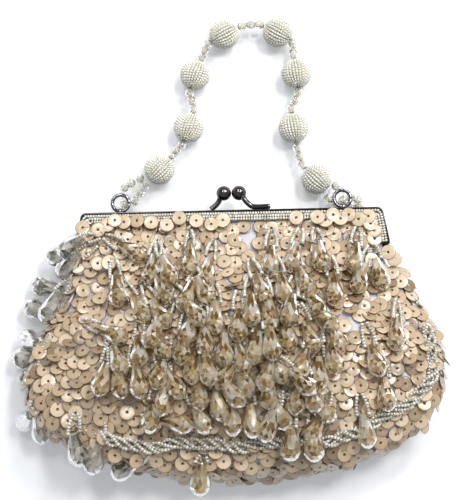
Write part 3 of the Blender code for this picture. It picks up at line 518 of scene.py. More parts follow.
def rounded(node, finish, slot_name, body, grow):
    """Stand-in for a CAD node, with a finer, rounder surface."""
    piece = modify(cad_copy(node, "fine", finish, grow), "SUBSURF", levels=2, render_levels=2)
    shade(piece.data)
    dress(piece, slot_name, body, node)


def joined_tree(names):
    """BVH over the outer faces of CAD cloths, with its verts and those faces."""
    verts, faces = [], []
    for name in names:
        bm = cad_mesh(name)
        bmesh.ops.triangulate(bm, faces=bm.faces[:])
        start = len(verts)
        bm.verts.ensure_lookup_table()
        verts += [v.co.copy() for v in bm.verts]
        faces += [tuple(start + v.index for v in f.verts) for f in bm.faces]
        bm.free()
    whole = BVHTree.FromPolygons(verts, faces)
    outer = []
    for face in faces:
        a, b, c = (verts[i] for i in face)
        normal = (b - a).cross(c - a)
        if normal.length < 1e-12:
            continue
        normal.normalize()
        middle = (a + b + c) / 3
        if whole.ray_cast(middle + normal * 0.4 * MM, normal, 0.2)[0] is None:
            outer.append(face)
    return BVHTree.FromPolygons(verts, outer), verts, outer


OUTSIDE, OUT_VERTS, OUT_FACES = joined_tree(["front_panel", "front_flap", "gusset", "back_panel"])
FRONT, _, _ = joined_tree(["front_panel", "front_flap"])


def surface_near(point, radius=5 * MM):
    """Nearest point of the pouch's outside, and the smoothed way out of it."""
    place, normal, _, _ = OUTSIDE.find_nearest(Vector(point))
    total = Vector((0, 0, 0))
    for _, near, _, distance in OUTSIDE.find_nearest_range(place, radius):
        if near.dot(normal) > 0.2:
            total += near * (1 - distance / radius / 1.2)
    return place, (total.normalized() if total.length > 1e-6 else normal)


def height_at(tree, x, y):
    """Height of a surface over a plan point, or None where there is none."""
    hit = tree.ray_cast(Vector((x, y, 0.1)), DOWN)[0]
    return None if hit is None else hit.z


# ---- floor and light

def stage_finish():
    """Pale paper that keeps shadows, and shows near white to the camera, metal and glass."""
    made = Finish("pale_floor", Roughness=0.9)
    tone = made.ramp(made.noise(14, 3), (0.3, srgb(243, 246, 251)), (0.7, srgb(247, 249, 252)))
    seen = made.seen()
    made.set(Base_Color=made.mix(seen, (0.22, 0.21, 0.2, 1), tone))
    away = made.range(made.size(made.place()), 0.2, 0.85, start=0.3, stop=1.3)
    glow = made.node("ShaderNodeEmission", Color=(0.97, 0.985, 1, 1),
                     Strength=made.math("MULTIPLY", seen, away))
    both = made.node("ShaderNodeAddShader", i0=made.shader.outputs[0], i1=glow.outputs[0])
    made.feed(made.tree.nodes["Material Output"].inputs[0], both.outputs[0])
    return made.material


def add_stage():
    bm = bmesh.new()
    bmesh.ops.create_grid(bm, x_segments=8, y_segments=8, size=3)
    floor = mesh_piece("floor", stage_finish(), bm)
    floor.location = (0, 0, -0.4 * MM)


def add_lamp(name, place, width, height, power, colour):
    """A soft lamp aimed at the middle of the bag."""
    data = bpy.data.lights.new(name, "AREA")
    data.shape, data.size, data.size_y = "RECTANGLE", width, height
    data.energy, data.color = power, colour
    lamp = add_object(name, data)
    lamp.location = place
    way = Vector((0, 0.03, 0.02)) - Vector(place)
    lamp.rotation_euler = way.to_track_quat("-Z", "Y").to_euler()


def add_lights():
    windows = [(-0.22, 0.42, 1.8), (0.4, 0.38, 4.0), (-0.2, 0.9, 2.4), (0.44, 0.86, 4.4)]
    for i, (x, y, power) in enumerate(windows, 1):
        add_lamp(f"window_{i}", (x, y, 1.02), 0.24, 0.17, power, (1, 0.985, 0.96))
    add_lamp("right_lamp", (0.7, 0.5, 0.7), 0.2, 0.2, 2.3, (1, 0.98, 0.95))
    world = bpy.data.worlds.new("world")
    world.use_nodes = True
    sky = Nodes(world.node_tree)
    height = sky.node("ShaderNodeSeparateXYZ", i0=sky.place("Generated")).outputs[2]
    above = (1, (0.35, 0.37, 0.4))
    lit = sky.ramp(height, (0.02, (0.85, 0.86, 0.87)), (0.34, (0.32, 0.32, 0.325)), above)
    shown = sky.ramp(height, (0.02, (0.93, 0.94, 0.95)), (0.1, (0.8, 0.81, 0.83)),
                     (0.34, (0.2, 0.2, 0.205)), above)
    background = sky.tree.nodes["Background"].inputs
    sky.feed(background[0], sky.mix(sky.seen(), lit, shown))
    sky.feed(background[1], 1.0)
    bpy.context.scene.world = world
    bpy.context.scene.view_settings.view_transform = "Standard"


# ---- handle

BALL_RADIUS = 7.75 * MM
# How far the thread runs straight on each side of a ball's middle
STRAIGHT = 8.5 * MM
THREAD_RADIUS = 0.35 * MM
LOOP_LINE = 0.3 * MM
# Crystals strung between the balls, and those on the loops through the rings
SPACER_RADIUS = 2.45 * MM
LOOP_CRYSTAL_RADIUS = 2.5 * MM
CRYSTAL_PITCH = 4.4 * MM
RING_PLACE = (56.5, 76.2, 13)
BALLS = {"left_1": (-37, 94.4), "left_2": (-21.4, 116.3), "left_3": (-17.6, 144.5),
         "left_4": (-2, 166.3), "right_4": (26.2, 166.7), "right_3": (35.4, 144.1),
         "right_2": (33.1, 114.8), "right_1": (44.1, 87.5)}
# Places along the loops through the rings: inward, up and out from a ring's middle, in millimetres
LOOP_LEFT = [(13.3, 12.2, -5.1), (9.5, 13.5, -4.5), (5.1, 10.9, -3), (1.9, 8.3, -1),
             (1, 4.8, 1.9), (1.4, 1.8, 0), (1.6, 0.3, -3.9), (7.1, 1.6, -4.4), (9.5, 6.1, -4.7),
             (12.2, 9.8, -5)]
LOOP_RIGHT = [(6.2, 5.2, -5.1), (2.6, 7.2, -3.2), (0.3, 5.1, 1.9), (-0.5, 1.8, 0), (-0.9, 0, -4),
              (-4.9, 1.6, -5.2), (-8.9, 0.4, -6.4), (-9.6, -2.6, -9.6), (-5.6, -3.4, -10.4),
              (-1.4, -2.2, -9.8), (2.8, -1, -8.6), (6.4, 1.4, -7.2)]


def from_ring(hand, place):
    inward, up, out = place
    x, y, z = RING_PLACE
    return np.array((hand * (x - inward), y + up, z + out)) * MM


def handle_route():
    centres = [np.array((x * MM, y * MM, BALL_RADIUS)) for x, y in BALLS.values()]
    start, end = from_ring(-1, LOOP_LEFT[0]), from_ring(1, LOOP_RIGHT[0])
    chain = [start, *centres, end]
    ends = list(zip(chain, chain[2:]))
    ends[0], ends[-1] = (start, centres[0]), (centres[-1], end)
    ways = [(b - a) * (1, 1, 0) / norm((b - a) * (1, 1, 0)) for a, b in ends]
    route = [start, centres[0], centres[0] + ways[0] * STRAIGHT]
    for centre, way in zip(centres[1:-1], ways[1:-1]):
        route += [centre - way * STRAIGHT, centre, centre + way * STRAIGHT]
    route += [centres[-1] - ways[-1] * STRAIGHT, centres[-1], end]
    return smooth_curve(route), centres, ways


def handle_thread(curve):
    run = lengths(curve)
    data = bpy.data.curves.new("handle_thread_line", "CURVE")
    data.dimensions, data.bevel_depth, data.bevel_resolution = "3D", THREAD_RADIUS, 3
    data.use_fill_caps = True
    stations = np.linspace(1 * MM, run[-1] - 1 * MM, 80)
    spline = data.splines.new("POLY")
    spline.points.add(len(stations) - 1)
    for point, s in zip(spline.points, stations):
        point.co = (*along(curve, run, s)[0], 1)
    data.materials.append(NYLON)
    return add_object("handle_thread_line", data), run[-1] - 2 * MM


def pearl_ball(name, centre, way):
    """Wound ball: a core under columns of seed beads that run from hole to hole."""
    core, arc, columns = 6.2 * MM, 6.9 * MM, 26
    batch = Batch()
    axes = axes_along(way)
    profile = round_profile(core, asin(1.3 / 6.3), 17)
    # The core is tinted towards the dark bead colour: painted shade in the grooves between the columns
    batch.add(lathe(profile, 24, closed=True), centre, axes, tint=(0.2, 0.5, 0.9))
    # A metre across, to be narrowed to its place in a column
    bead = bead_template(COLUMN_BEAD, 1, 1.34 * MM)
    twist = rng.random() * 6
    starts = np.radians(rng.uniform(-5, 5, columns))
    for row in np.radians(np.linspace(-72, 72, 14)):
        # Every other column ends short of the holes
        ring = columns if abs(row) < 0.96 else columns // 2
        for k in range(ring):
            lat = row + starts[k * columns // ring]
            wide = 0.78 * pi * arc * cos(lat) / ring
            turn = twist + tau * k / ring
            around = np.array((0, cos(turn), sin(turn)))
            out = cos(lat) * around + (sin(lat), 0, 0)
            run = -sin(lat) * around + (cos(lat), 0, 0) + rng.normal(0, 0.03, 3)
            place = centre + axes @ (out * (arc + rng.normal(0, 0.03) * MM))
            light = 0.4 + 0.6 * rng.random()
            batch.add(bead, place, axes_along(axes @ run, axes @ out) * (1, wide, 0.95 * MM),
                      tint=(light, rng.random(), rng.random()))
    return batch.build(f"pearl_{name}_beads", PEARL, "pearl_seed_beads", "handle",
                       f"pearl_ball_{name}")


def spacer(index, curve, run, start, end):
    """Cut crystals end to end on a stretch of the thread."""
    count = max(round((end - start) / CRYSTAL_PITCH), 1)
    pitch = (end - start) / count
    batch = Batch()
    for i in range(count):
        point, way = along(curve, run, start + pitch * (i + 0.5))
        batch.add(crystal_template(SPACER_RADIUS, pitch * 0.99), point,
                  axes_along(way, roll=rng.random()))
    return batch.build(f"crystals_{index}", CRYSTAL, "clear_crystal", "handle",
                       f"crystal_spacers_{index}", smooth=False)


def end_loop(side, hand, places, bare):
    """Thread through a ring and back, with a crystal at every place but the first and the bare."""
    per_span = 12
    curve = smooth_curve([from_ring(hand, p) for p in places], per_span, closed=True)
    curve = np.vstack([curve, curve[:1]])
    run = lengths(curve)
    knots = run[::per_span]
    batch = Batch()
    for i in range(1, len(places)):
        if i in bare:
            continue
        point, way = along(curve, run, knots[i])
        room = min(knots[i] - knots[i - 1], knots[i + 1] - knots[i])
        batch.add(crystal_template(LOOP_CRYSTAL_RADIUS, min(room, CRYSTAL_PITCH) * 0.98), point,
                  axes_along(way, roll=rng.random()))
    batch.build(f"loop_crystals_{side}", CRYSTAL, "clear_crystal", "handle",
                f"crystal_loop_{side}", smooth=False)
    thread_tube(f"loop_line_{side}", [curve], LOOP_LINE, "handle", sides=6)


def thread_tube(name, curves, radius, body, sides=4):
    """Thin round threads along curves, as one mesh."""
    verts, faces = [], []
    for curve in curves:
        first = len(verts)
        for point, way in zip(curve, np.gradient(curve, axis=0)):
            axes = axes_along(way)
            for a in tau * np.arange(sides) / sides:
                verts.append(point + radius * (axes[:, 1] * cos(a) + axes[:, 2] * sin(a)))
        last = len(verts) - sides
        for a in range(first, last, sides):
            turned = [*range(a, a + sides), a]
            faces += [(i, n, n + sides, i + sides) for i, n in zip(turned, turned[1:])]
        faces += [tuple(reversed(range(first, first + sides))), tuple(range(last, last + sides))]
    dress(mesh_piece(name, NYLON, ([tuple(v) for v in verts], faces)), "nylon_thread", body)


def build_handle():
    curve, centres, ways = handle_route()
    run = lengths(curve)
    line, length = handle_thread(curve)
    beads = [pearl_ball(n, c, w) for n, c, w in zip(BALLS, centres, ways)]
    middles = [run[np.argmin(norm(curve - c, axis=1))] for c in centres]
    clear = BALL_RADIUS + 0.3 * MM
    crystals = [spacer(i, curve, run, a + clear, b - clear)
                for i, (a, b) in enumerate(zip(middles, middles[1:]), 1)]
    end_loop("left", -1, LOOP_LEFT, (4, 5))
    end_loop("right", 1, LOOP_RIGHT, (2, 3))
    dress(line, "nylon_thread", "handle", "handle_thread")


# ---- frame, lock and rings

def lock_ball(side, end, body):
    low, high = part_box(f"lock_ball_{end}")
    centre = (Vector(low) + Vector(high)) / 2
    radius = (high[0] - low[0]) / 2 + 0.1 * MM
    batch = Batch()
    batch.add(lathe(round_profile(radius, 0, 33), 48), centre, axes_along((0, 1, 0)))
    batch.build(f"lock_ball_{side}", LOCK_METAL, "gunmetal", body, f"lock_ball_{end}")


def build_metal():
    for side, end, body in (("left", "back", "bag_body"), ("right", "front", "front_half")):
        bevelled(f"frame_{end}_half", GUNMETAL, "gunmetal", body, 0.18 * MM)
        rounded(f"lock_arm_{end}", LOCK_METAL, "gunmetal", body, 0.2 * MM)
        lock_ball(side, end, body)
        rounded(f"handle_ring_{side}", NICKEL, "polished_nickel", f"ring_{side}", 0.3 * MM)
        for node in (f"ring_lug_{side}", f"hinge_rivet_{side}"):
            bevelled(node, NICKEL, "polished_nickel", "bag_body", 0.1 * MM)


# Half width of the frame at its top corners, and its top edge, in millimetres
FRAME_HALF = 76
FRAME_TOP = 70


def arm_outside(y):
    """Half width of the frame at y, in millimetres."""
    return FRAME_HALF + 2.5 * min(max((FRAME_TOP - y) / 16.5, 0), 1)


def band_path(inset):
    """Plan path a set way inside the frame's edge, up one arm, across and down the other."""
    left = [(-(arm_outside(y) - inset), y) for y in np.arange(51.6, 67, 2.0)]
    x, y = FRAME_HALF - inset, FRAME_TOP - inset
    corner = [(-x, y - 1.2), (0.35 - x, y - 0.35), (1.2 - x, y)]
    top = [(across, y) for across in np.arange(4 - x, x - 3, 8.0)]
    return left + corner + top + [(-across, up) for across, up in reversed(left + corner)]


def build_bands():
    """Rows of small beads sewn over each flange."""
    bead = bead_template(SHORT_BEAD, 0.74 * MM, 1.3 * MM, 7)
    for node, body, z in (("bead_band_front", "front_half", 22.45),
                          ("bead_band_back", "bag_body", 9.55)):
        batch = Batch()
        for inset in (1.95, 3.4, 4.85):
            path = np.array([(x, y, z + rng.normal(0, 0.08)) for x, y in band_path(inset)])
            string_beads(batch, bead, 1.33 * MM, smooth_curve(path * MM, 3), 0.06)
        batch.build(f"{node}_rows", CREAM, "silver_seed_beads", body, node)


# ---- pouch

def front_cover():
    """One sheet from the bottom seam up into the front frame, over the hinge line."""
    ys = np.concatenate([np.linspace(-44.6, 46, 74), np.linspace(47, 68, 18)]) * MM
    columns = 110
    sides = {}
    for i, y in enumerate(ys):
        hits = [x for x in np.arange(-0.1, 0.1, 0.7 * MM) if height_at(FRONT, x, y) is not None]
        if len(hits) > 20:
            sides[i] = (hits[0], hits[-1])
    lefts, rights = (np.interp(range(len(ys)), list(sides), x) for x in zip(*sides.values()))
    plan = [(x, y) for y, left, right in zip(ys, lefts, rights)
            for x in np.linspace(left, right, columns)]
    heights = np.array([height_at(FRONT, x, y) for x, y in plan], float).reshape(-1, columns)
    for column in heights.T:
        bad = np.isnan(column)
        if bad.any() and not bad.all():
            column[bad] = np.interp(np.flatnonzero(bad), np.flatnonzero(~bad), column[~bad])
    for _ in range(2):
        blurred = heights.copy()
        blurred[1:-1, 1:-1] = (heights[1:-1, 1:-1] * 2 + heights[:-2, 1:-1] + heights[2:, 1:-1]
                               + heights[1:-1, :-2] + heights[1:-1, 2:]) / 6
        heights = blurred
    heights = heights - 0.55 * MM + rng.normal(0, 0.12 * MM, heights.shape)
    verts = [(x, y, z) for (x, y), z in zip(plan, heights.ravel())]
    faces = [(a, a + 1, a + columns + 1, a + columns) for i in range(len(ys) - 1)
             for a in range(i * columns, (i + 1) * columns - 1)]
    piece = modify(mesh_piece("front_cover", SATIN, (verts, faces)), "SOLIDIFY",
                   thickness=0.45 * MM, offset=-1)
    shade(piece.data)
    dress(piece, "sequin_cloth", None, "front_panel", "front_flap")


def cloth_copy(node, finish, slot_name, draw_in, body=None):
    """A finer copy of a CAD cloth, drawn in from its outside and slightly puckered."""
    piece = modify(cad_copy(node, "cloth", finish, -draw_in), "SUBSURF", levels=1, render_levels=1)
    count = len(piece.data.vertices)
    places, normals = np.empty((2, count * 3))
    piece.data.vertices.foreach_get("co", places)
    piece.data.vertex_normals.foreach_get("vector", normals)
    puckers = np.repeat(rng.normal(0, 0.06 * MM, count), 3)
    piece.data.vertices.foreach_set("co", places + normals * puckers)
    shade(piece.data)
    dress(piece, slot_name, body, node)


def scatter(spacing, accept):
    """Points over the pouch's outside, no two nearer than the spacing."""
    triangles = np.array([[tuple(OUT_VERTS[i]) for i in f] for f in OUT_FACES])
    edge_a = triangles[:, 1] - triangles[:, 0]
    edge_b = triangles[:, 2] - triangles[:, 0]
    areas = norm(np.cross(edge_a, edge_b), axis=1) / 2
    count = int(areas.sum() / spacing ** 2 * 22)
    picked = rng.choice(len(areas), count, p=areas / areas.sum())
    a, b = rng.random((2, count))
    flip = a + b > 1
    a[flip], b[flip] = 1 - a[flip], 1 - b[flip]
    points = triangles[picked, 0] + edge_a[picked] * a[:, None] + edge_b[picked] * b[:, None]
    cells, kept = {}, []
    for point in points:
        if not accept(*point):
            continue
        key = tuple(np.floor(point / spacing).astype(int))
        near = [q for cell in itertools.product(*((c - 1, c, c + 1) for c in key))
                for q in cells.get(cell, ())]
        if all(np.sum((point - q) ** 2) >= spacing ** 2 for q in near):
            cells.setdefault(key, []).append(point)
            kept.append(point)
    return kept


# Patches where the satin shows, each with half its width and height, in millimetres
BARE = [(8, 54, 4.3, 7), (57, 9, 4.5, 5), (-45, 2, 3.5, 3.5), (-63, 40, 3.5, 3)]


def on_pouch(x, y, z):
    """Where sequins are sewn: everywhere but on the bare patches and under the frame."""
    x, y, z = x / MM, y / MM, z / MM
    if z > 20 and any(abs(x - a) < wide and abs(y - b) < high for a, b, wide, high in BARE):
        return False
    inset = min(arm_outside(y) - abs(x), FRAME_TOP - y)
    return y <= 45 or inset > (7.4 if abs(x) < 40 else 5.6)


SEQUIN_SHAPE = sequin_template()
SEQUIN_RADIUS = 3.7 * MM
SEQUIN_SPACING = 4.35 * MM
STITCH_LINE = 0.11 * MM
# Above this, sequins lie flatter, so that they don't lift off the flap or catch in the frame
FLAP_START = 42 * MM


def sew(batch, threads, place, normal, tilt, side_tilt, lift, tone=(0.5, 0.3)):
    """One sequin, its lower edge lifted over the next, and at times a stitch across it."""
    out = np.array(normal)
    down = np.array((place[0] * 0.5, place[1] - 0.1, -0.05))
    angle = rng.normal(0, 0.4)
    down = down - out * np.dot(down, out)
    down /= norm(down)
    side = np.cross(out, down)
    down, side = (down * cos(angle) + side * sin(angle),
                  side * cos(angle) - down * sin(angle))
    face = out - down * tan(tilt) - side * tan(side_tilt)
    face /= norm(face)
    centre = np.array(place) + out * lift
    axes = axes_along(face, down)
    light = float(np.clip(rng.normal(*tone), 0, 1))
    batch.add(SEQUIN_SHAPE, centre, axes, tint=(light, rng.random(), rng.random()),
              scale=1 + rng.normal(0, 0.02))
    if rng.random() < 0.45:
        way = -axes[:, 2] * cos(angle) + axes[:, 1] * sin(angle)
        top = centre + face * 0.16 * MM
        threads.append(np.array([centre - face * 0.4 * MM, top, top + way * 1.9 * MM,
                                 top + way * 3.75 * MM, centre + way * 3.9 * MM]))


# Sequins sewn over the bead rows and the arms, in millimetres
TOP_SEQUINS = [(-74.4, 62.1), (-66.7, 60.9), (-62, 63.4), (-58.4, 65.5), (-53.9, 64.6),
               (-47.4, 65.1), (-40.3, 64.2), (-32.5, 62.7), (-26.2, 66), (-17.8, 64.5),
               (-10.4, 62.6), (-4.6, 64.4), (32, 64.9), (42.6, 65), (46.5, 63.4), (50.4, 66),
               (54, 64), (58.1, 65.8), (63, 63.5), (67.9, 64.9), (68.9, 61.1), (70.4, 57.6),
               (-75, 57), (-72, 59), (-76, 52), (-77.5, 47.5), (-77, 43), (77, 46.5), (80, 43),
               (70.5, 53.5), (-71.5, 45), (-70.5, 40.5), (-72.5, 49)]


def build_sequins():
    """Sequins flat on the back, tilted like scales on the front and gusset, flatter by the flap."""
    groups = {"front": (Batch(), []), "gusset": (Batch(), []), "back": (Batch(), [])}
    for point in scatter(SEQUIN_SPACING, on_pouch):
        place, normal = surface_near(point)
        part = "front" if normal.z > 0.35 else ("back" if normal.z < -0.5 else "gusset")
        near_flap = place.y > FLAP_START
        # None are sewn inside the mouth
        if part == "front" and near_flap and place.z < 20 * MM:
            continue
        batch, threads = groups[part]
        if part == "back":
            if rng.random() >= 0.3:
                sew(batch, threads, place, normal, radians(2.5), radians(1.5), -0.42 * MM)
            continue
        tilt = radians(rng.normal(14, 8))
        side_tilt = radians(rng.normal(0, 9))
        if part == "gusset" and place.z > 8 * MM:
            tilt, side_tilt = tilt * 1.5, side_tilt * 1.4
        # A few stand nearly on edge
        if rng.random() < 0.06:
            tilt = radians(rng.uniform(25, 55))
        lift = SEQUIN_RADIUS * sin(abs(tilt)) * 0.75 + rng.uniform(-0.25, 0.35) * MM
        if near_flap:
            if part == "front":
                normal = (normal + Vector((0, 0, 2))).normalized()
            tilt, side_tilt = min(abs(tilt), 0.2), side_tilt * 0.5
            lift = SEQUIN_RADIUS * sin(tilt + abs(side_tilt)) + rng.uniform(0.1, 0.4) * MM
        sew(batch, threads, place, normal, tilt, side_tilt, lift)
    batch, threads = groups["front"]
    for x, y in TOP_SEQUINS:
        sew(batch, threads, (x * MM, y * MM, rng.uniform(24.1, 24.9) * MM),
            (0.12 * np.sign(x), 0.05, 1), radians(rng.normal(9, 4)),
            radians(rng.normal(0, 5)), 0, tone=(0.8, 0.15))
    for part, (batch, threads) in groups.items():
        body = "bag_body" if part == "back" else None
        batch.build(f"sequins_{part}", SEQUIN, "sequin_cloth", body)
        thread_tube(f"stitches_{part}", threads, STITCH_LINE, body)


def build_braid():
    """Twisted strands of seed beads over the seam of the front and the gusset."""
    points = node_points("seam_braid")
    turn = np.arctan2(points[:, 0], 0.030 - points[:, 1])
    bins = np.linspace(turn.min(), turn.max(), 46)
    middle = []
    for low, high in zip(bins, bins[1:]):
        inside = points[(turn >= low) & (turn < high + 1e-9)]
        if len(inside):
            middle.append((inside.min(axis=0) + inside.max(axis=0)) / 2)
    middle = np.array(middle)
    for _ in range(3):
        middle[1:-1] = (middle[:-2] + middle[1:-1] * 2 + middle[2:]) / 4
    curve = smooth_curve(middle)
    run = lengths(curve)
    batch = Batch()
    bead = bead_template(ROUND_BEAD, 0.9 * MM, 1.45 * MM)
    steps = np.arange(0, run[-1], 0.6 * MM)
    for strand in range(4):
        line = []
        for s in steps:
            point, way = along(curve, run, s)
            axes = axes_along(way)
            a = tau * (s / (21 * MM) + strand / 4) + 0.5 * sin(s * 190 + strand)
            shown = min(max((point[0] + 68 * MM) / (9 * MM), 0), 1)
            wide, high = (1.2 + 1.1 * shown) * MM, (0.6 + 0.65 * shown) * MM
            wave = (1.1 * sin(s * 130) + 0.6 * sin(s * 310 + 1)) * shown * MM
            line.append(point + axes[:, 1] * (cos(a) * wide + wave)
                        + axes[:, 2] * (sin(a) * high + (0.3 - 3.4 * (1 - shown)) * MM))
        string_beads(batch, bead, 1.5 * MM, np.array(line), 0.12)
    batch.build("seam_braid_beads", SILVER, "silver_seed_beads", "bag_body", "seam_braid")


# ---- fringe

DROP_SHAPE = drop_template()
DROP_COLLAR = 1.9 * MM
# Down a drop: from its collar to its hole, and from there to its wide part and past its tip
COLLAR_TO_HOLE = 1.6 * MM
HOLE_TO_WIDE = 8.6 * MM
HOLE_TO_TIP = 16.5 * MM
# From a drop's hole to the stitch that its loop of beads hangs from
STRAND = 11.5 * MM
SEED_SHAPE = bead_template(ROUND_BEAD, 0.98 * MM, 1.5 * MM)
FRINGE_LINE = 0.14 * MM
# Drops nearer than the first are pushed apart, and nearer than the second they lie in layers
CROWDED = 7.4 * MM
OVERLAP = 9.4 * MM
# Lifts off the cloth, in millimetres: of the stitch, and in the lowest layer of a drop's hole and
# wide part, with what each further layer adds
STITCH_LIFT = 1.6
HOLE_LIFT, HOLE_LAYER = 3.0, 2.9
WIDE_LIFT, WIDE_LAYER = 5.0, 2.4
# The drops off the edges are a little larger
EDGE_SCALE = 1.1
CAD_DROPS = ["front_left", "front_middle", "front_right", "left_1", "left_2", "left_3", "left_4",
             "left_5", "bottom"]

# Beading plan of the front: where each drop's wide part lies, in millimetres, and its heading, in
# degrees from straight down towards the right
FRONT_DROPS = [
    (-47, 48, 60), (-40, 37, -10), (-31, 36, 20), (-21, 41, 0), (-56, 27, 8), (-33, 27, 25),
    (-23, 23, -20), (-44, 18, 30), (-34, 15, 30), (-22, 7, -15), (-56, 7, 65), (-45, -3, 0),
    (-9, 12, 0), (-34, 0, 30), (-54, -17, 15), (-45, -17, 10), (-36, -13, -15), (-20, -11, 0),
    (-12, -12, 10), (-14, 2, 0), (-5, -3, 0), (-40, -33, -10), (-26, -35, 80), (-17, -23, 0),
    (-8, -28, 10), (0, -22, 40), (-16, -34, 20), (2, 8, 0), (-39, 6, -30), (4, -7, 15),
    (-6, -14, -35), (18, 40, -5), (29, 42, -15), (43, 42, 5), (59, 41, -10), (61, 31, -20),
    (48, 25, 0), (35, 29, 20), (24, 26, 10), (8, 15, 0), (17, 14, 5), (26, 15, -10), (39, 19, 25),
    (25, 3, 0), (36, 2, 15), (9, -3, -10), (17, -1, 5), (21, -12, 30), (30, -11, -20), (39, -15, 0),
    (14, -15, -15), (4, -18, 20), (15, -23, 0), (28, -26, -10), (36, -25, 15), (41, -31, 60),
    (36, -39, -25), (25, -42, 10), (7, -36, 5), (13, -38, -20), (2, -34, 25), (77, 3, -8),
    (71, -25, 5), (61, -42, 8), (72, 33, 10), (32, -18, 45),
]
# Drops off the edges: wide part, tip, and height of the wide part, in millimetres
EDGE_DROPS = [
    ((-87.3, 48.6), (-92, 50.5), 14), ((-80.5, 52.5), (-84.6, 50.2), 24),
    ((-82, 43), (-85.4, 40), 22), ((-91, 22.3), (-94.3, 15.8), 20),
    ((-104.6, -1.4), (-108.6, -1.3), 10), ((-96.1, -37.1), (-95.6, -41.4), 17),
    ((-76, -47), (-75.2, -52), 33), ((-68, -50.5), (-69.5, -56), 31),
    ((-54.2, -56), (-58.7, -58.7), 25), ((25, -46), (25, -51), 42), ((36, -46), (36, -51.5), 42),
]


def hang(batches, apex, hole, way, roll, scale=1.0):
    """One drop, and the loop of seed beads that it hangs on."""
    drops, loops, lines = batches
    axes = axes_along(way, roll=roll)
    drops.add(DROP_SHAPE, hole - axes[:, 0] * COLLAR_TO_HOLE, axes, scale=scale)
    across = axes[:, 2 if abs(axes[2, 1]) > 0.75 else 1]
    reach = DROP_COLLAR + 1.0 * MM
    top = np.array(apex)
    both = []
    for hand in (-1, 1):
        foot = hole + across * hand * reach
        bulge = (foot + top) / 2 + across * hand * 1.1 * MM + np.array((0, 0, 0.5 * MM))
        curve = smooth_curve([foot, bulge, top + across * hand * 0.9 * MM])
        string_beads(loops, SEED_SHAPE, 1.55 * MM, curve, 0.1, ends=0.3 * MM)
        both.append(curve)
    lines.append(np.vstack([both[0], both[1][::-1]]))
    lines.append(np.array([both[0][0], hole, both[1][0]]))


def settle(plan):
    """Spread the wide parts of crowded drops, then lay them in up to three layers like shingles."""
    ways = np.array([(sin(radians(h)), -cos(radians(h))) for _, _, h in plan])
    wides = np.array([(x, y) for x, y, _ in plan]) * MM
    for _ in range(25):
        delta = wides[:, None] - wides[None]
        distance = norm(delta, axis=2) + np.eye(len(plan))
        push = np.clip(CROWDED - distance, 0, None)
        np.fill_diagonal(push, 0)
        wides += (delta / distance[..., None] * push[..., None]).sum(axis=1) * 0.3
    levels = []
    for i, wide in enumerate(wides):
        taken = {levels[j] for j in range(i) if norm(wides[j] - wide) < OVERLAP}
        levels.append(next((n for n in (0, 1, 2) if n not in taken), int(rng.integers(3))))
    placed = []
    for wide, way, level in zip(wides, ways, levels):
        hole = wide - way * HOLE_TO_WIDE
        apex = hole - way * STRAND
        apex[1] = min(apex[1], 60 * MM)
        lifts = (STITCH_LIFT, HOLE_LIFT + HOLE_LAYER * level, WIDE_LIFT + WIDE_LAYER * level)
        spots = [np.array((*p, FRONT_HEIGHT(*p) + up * MM))
                 for p, up in zip((apex, hole, wide), lifts)]
        spots[1][2] = max(spots[1][2], spots[2][2] - 2.4 * MM)
        placed.append(spots)
    return placed


def height_map():
    """Height of the pouch's front over a plan point, between the points of a 2 mm grid."""
    xs, ys = np.arange(-0.115, 0.1151, 2 * MM), np.arange(-0.075, 0.0751, 2 * MM)
    grid = np.array([[height_at(OUTSIDE, x, y) or 0 for y in ys] for x in xs])
    highest = grid
    for shift in itertools.product((-1, 0, 1), repeat=2):
        highest = np.maximum(highest, np.roll(grid, shift, (0, 1)))
    grid = np.where(grid < highest - 3 * MM, highest - 1 * MM, grid)
    return lambda x, y: np.interp(x, xs, [np.interp(y, ys, row) for row in grid])


FRONT_HEIGHT = height_map()


def cad_drop(name):
    """Hole, direction and sewn place of a drop that CAD has, from its meshes."""
    body, loop = node_points(f"fringe_drop_{name}"), node_points(f"fringe_loop_{name}")
    middle = body.mean(axis=0)
    way = svd(body - middle)[2][0]
    shares = (body - middle) @ way
    low, high = shares.min(), shares.max()
    third = (high - low) / 3
    spread = norm(body - middle - shares[:, None] * way, axis=1)
    if spread[shares < low + third].max() > spread[shares > high - third].max():
        way, low = -way, -high
    collar = np.abs((body - middle) @ way - low) < 1 * MM
    base = body[collar].mean(axis=0)
    base = base - way * np.dot(base - middle - way * low, way)
    hole = base + way * COLLAR_TO_HOLE
    far = loop[np.argsort(-norm(loop - hole, axis=1))[:8]].mean(axis=0)
    return hole, way, far + (hole - far) / norm(hole - far) * 0.7 * MM


def fringe_plan():
    """The beading plan, with drops at random places and headings filling the rest of an oval."""
    plan = list(FRONT_DROPS)
    for _ in range(4000):
        x, y = rng.uniform(-58, 52), rng.uniform(-40, 36)
        outside = (x + 3) ** 2 / 52 ** 2 + (y + 6) ** 2 / 42 ** 2 > 1
        if outside or (abs(x) < 12 and y > 14):
            continue
        if all((x - p[0]) ** 2 + (y - p[1]) ** 2 > 9.3 ** 2 for p in plan):
            plan.append((x, y, rng.normal(5, 25)))
    return plan


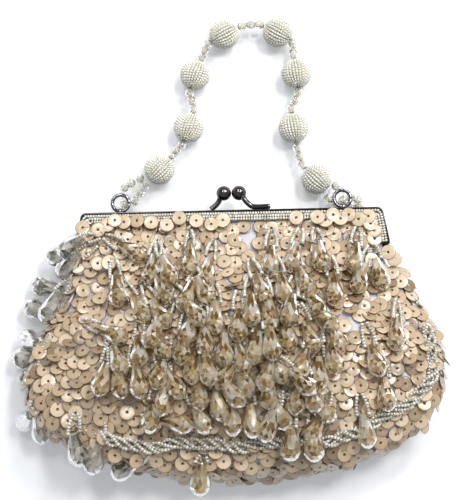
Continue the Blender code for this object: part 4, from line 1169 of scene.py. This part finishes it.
def hang_at_edge(batches, place, tip, z):
    """One drop off the pouch's edge, whose loop reaches up to the nearest cloth."""
    lean = (np.array(tip) - np.array(place)) / 5.6
    deep = sqrt(max(1 - np.dot(lean, lean), 0.02))
    way = np.array((*lean, -deep * (1 if z > 12 else 0.3)))
    way /= norm(way)
    hole = np.array((*place, z)) * MM - way * HOLE_TO_WIDE
    pull = Vector((0.15, 0.4, 0.3)) - Vector(way)
    near, normal = surface_near(Vector(hole) + pull.normalized() * STRAND)
    pull = np.array(near + normal * 1.2 * MM) - hole
    long = norm(pull)
    apex = hole + pull / long * min(long, STRAND * 1.1)
    hang(batches, apex, hole, way, rng.random() * 6, EDGE_SCALE)


def build_fringe():
    front = (Batch(), Batch(), [])
    plan = fringe_plan()
    fixed = {name: cad_drop(name) for name in CAD_DROPS}
    middle = [(h, w) for name, (h, w, _) in fixed.items() if name.startswith("front")]
    for apex, hole, wide in settle(plan):
        spot = wide + (wide - hole) * 0.4
        if any(norm(spot - h - w * 10 * MM) < 5 * MM for h, w in middle):
            continue
        hang(front, apex, hole, wide - hole, rng.random() * 6)
    drops, loops, lines = front
    edge = Batch()
    for place, tip, z in EDGE_DROPS:
        hang_at_edge((drops if place[0] > 0 else edge, loops, lines), place, tip, z)
    drops.build("fringe_drops", DROP, "clear_crystal", None, smooth=False)
    edge.build("edge_drops", EDGE_DROP, "clear_crystal", None, smooth=False)
    loops.build("fringe_beads", SILVER, "silver_seed_beads", None)
    thread_tube("fringe_lines", lines, FRINGE_LINE, None)
    for name, (hole, way, apex) in fixed.items():
        drops, loops, lines = Batch(), Batch(), []
        scale = 1.0 if name.startswith("front") else EDGE_SCALE
        if way[2] < 0:
            scale = min(scale, (hole[2] - 0.8 * MM) / (HOLE_TO_TIP * -way[2]))
        hang((drops, loops, lines), apex, hole, way, 0, scale)
        clear = EDGE_DROP if name.startswith("left") else DROP
        drops.build(f"drop_{name}", clear, "clear_crystal", "bag_body", f"fringe_drop_{name}",
                    smooth=False)
        loops.build(f"loop_{name}", SILVER, "silver_seed_beads", "bag_body", f"fringe_loop_{name}")
        thread_tube(f"line_{name}", lines, FRINGE_LINE, "bag_body")


# ---- assembly

add_camera()
build_handle()
add_stage()
add_lights()
build_metal()
build_bands()
front_cover()
cloth_copy("gusset", SATIN, "sequin_cloth", 0.45 * MM)
cloth_copy("back_panel", SATIN, "sequin_cloth", 0.45 * MM, body="bag_body")
cloth_copy("lining_body", LINING, "satin_lining", 0.05 * MM)
cloth_copy("lining_front_flap", LINING, "satin_lining", 0.05 * MM, body="front_half")
bevelled("slip_pocket", LINING, "satin_lining", "bag_body", 0.2 * MM)
build_sequins()
build_braid()
build_fringe()
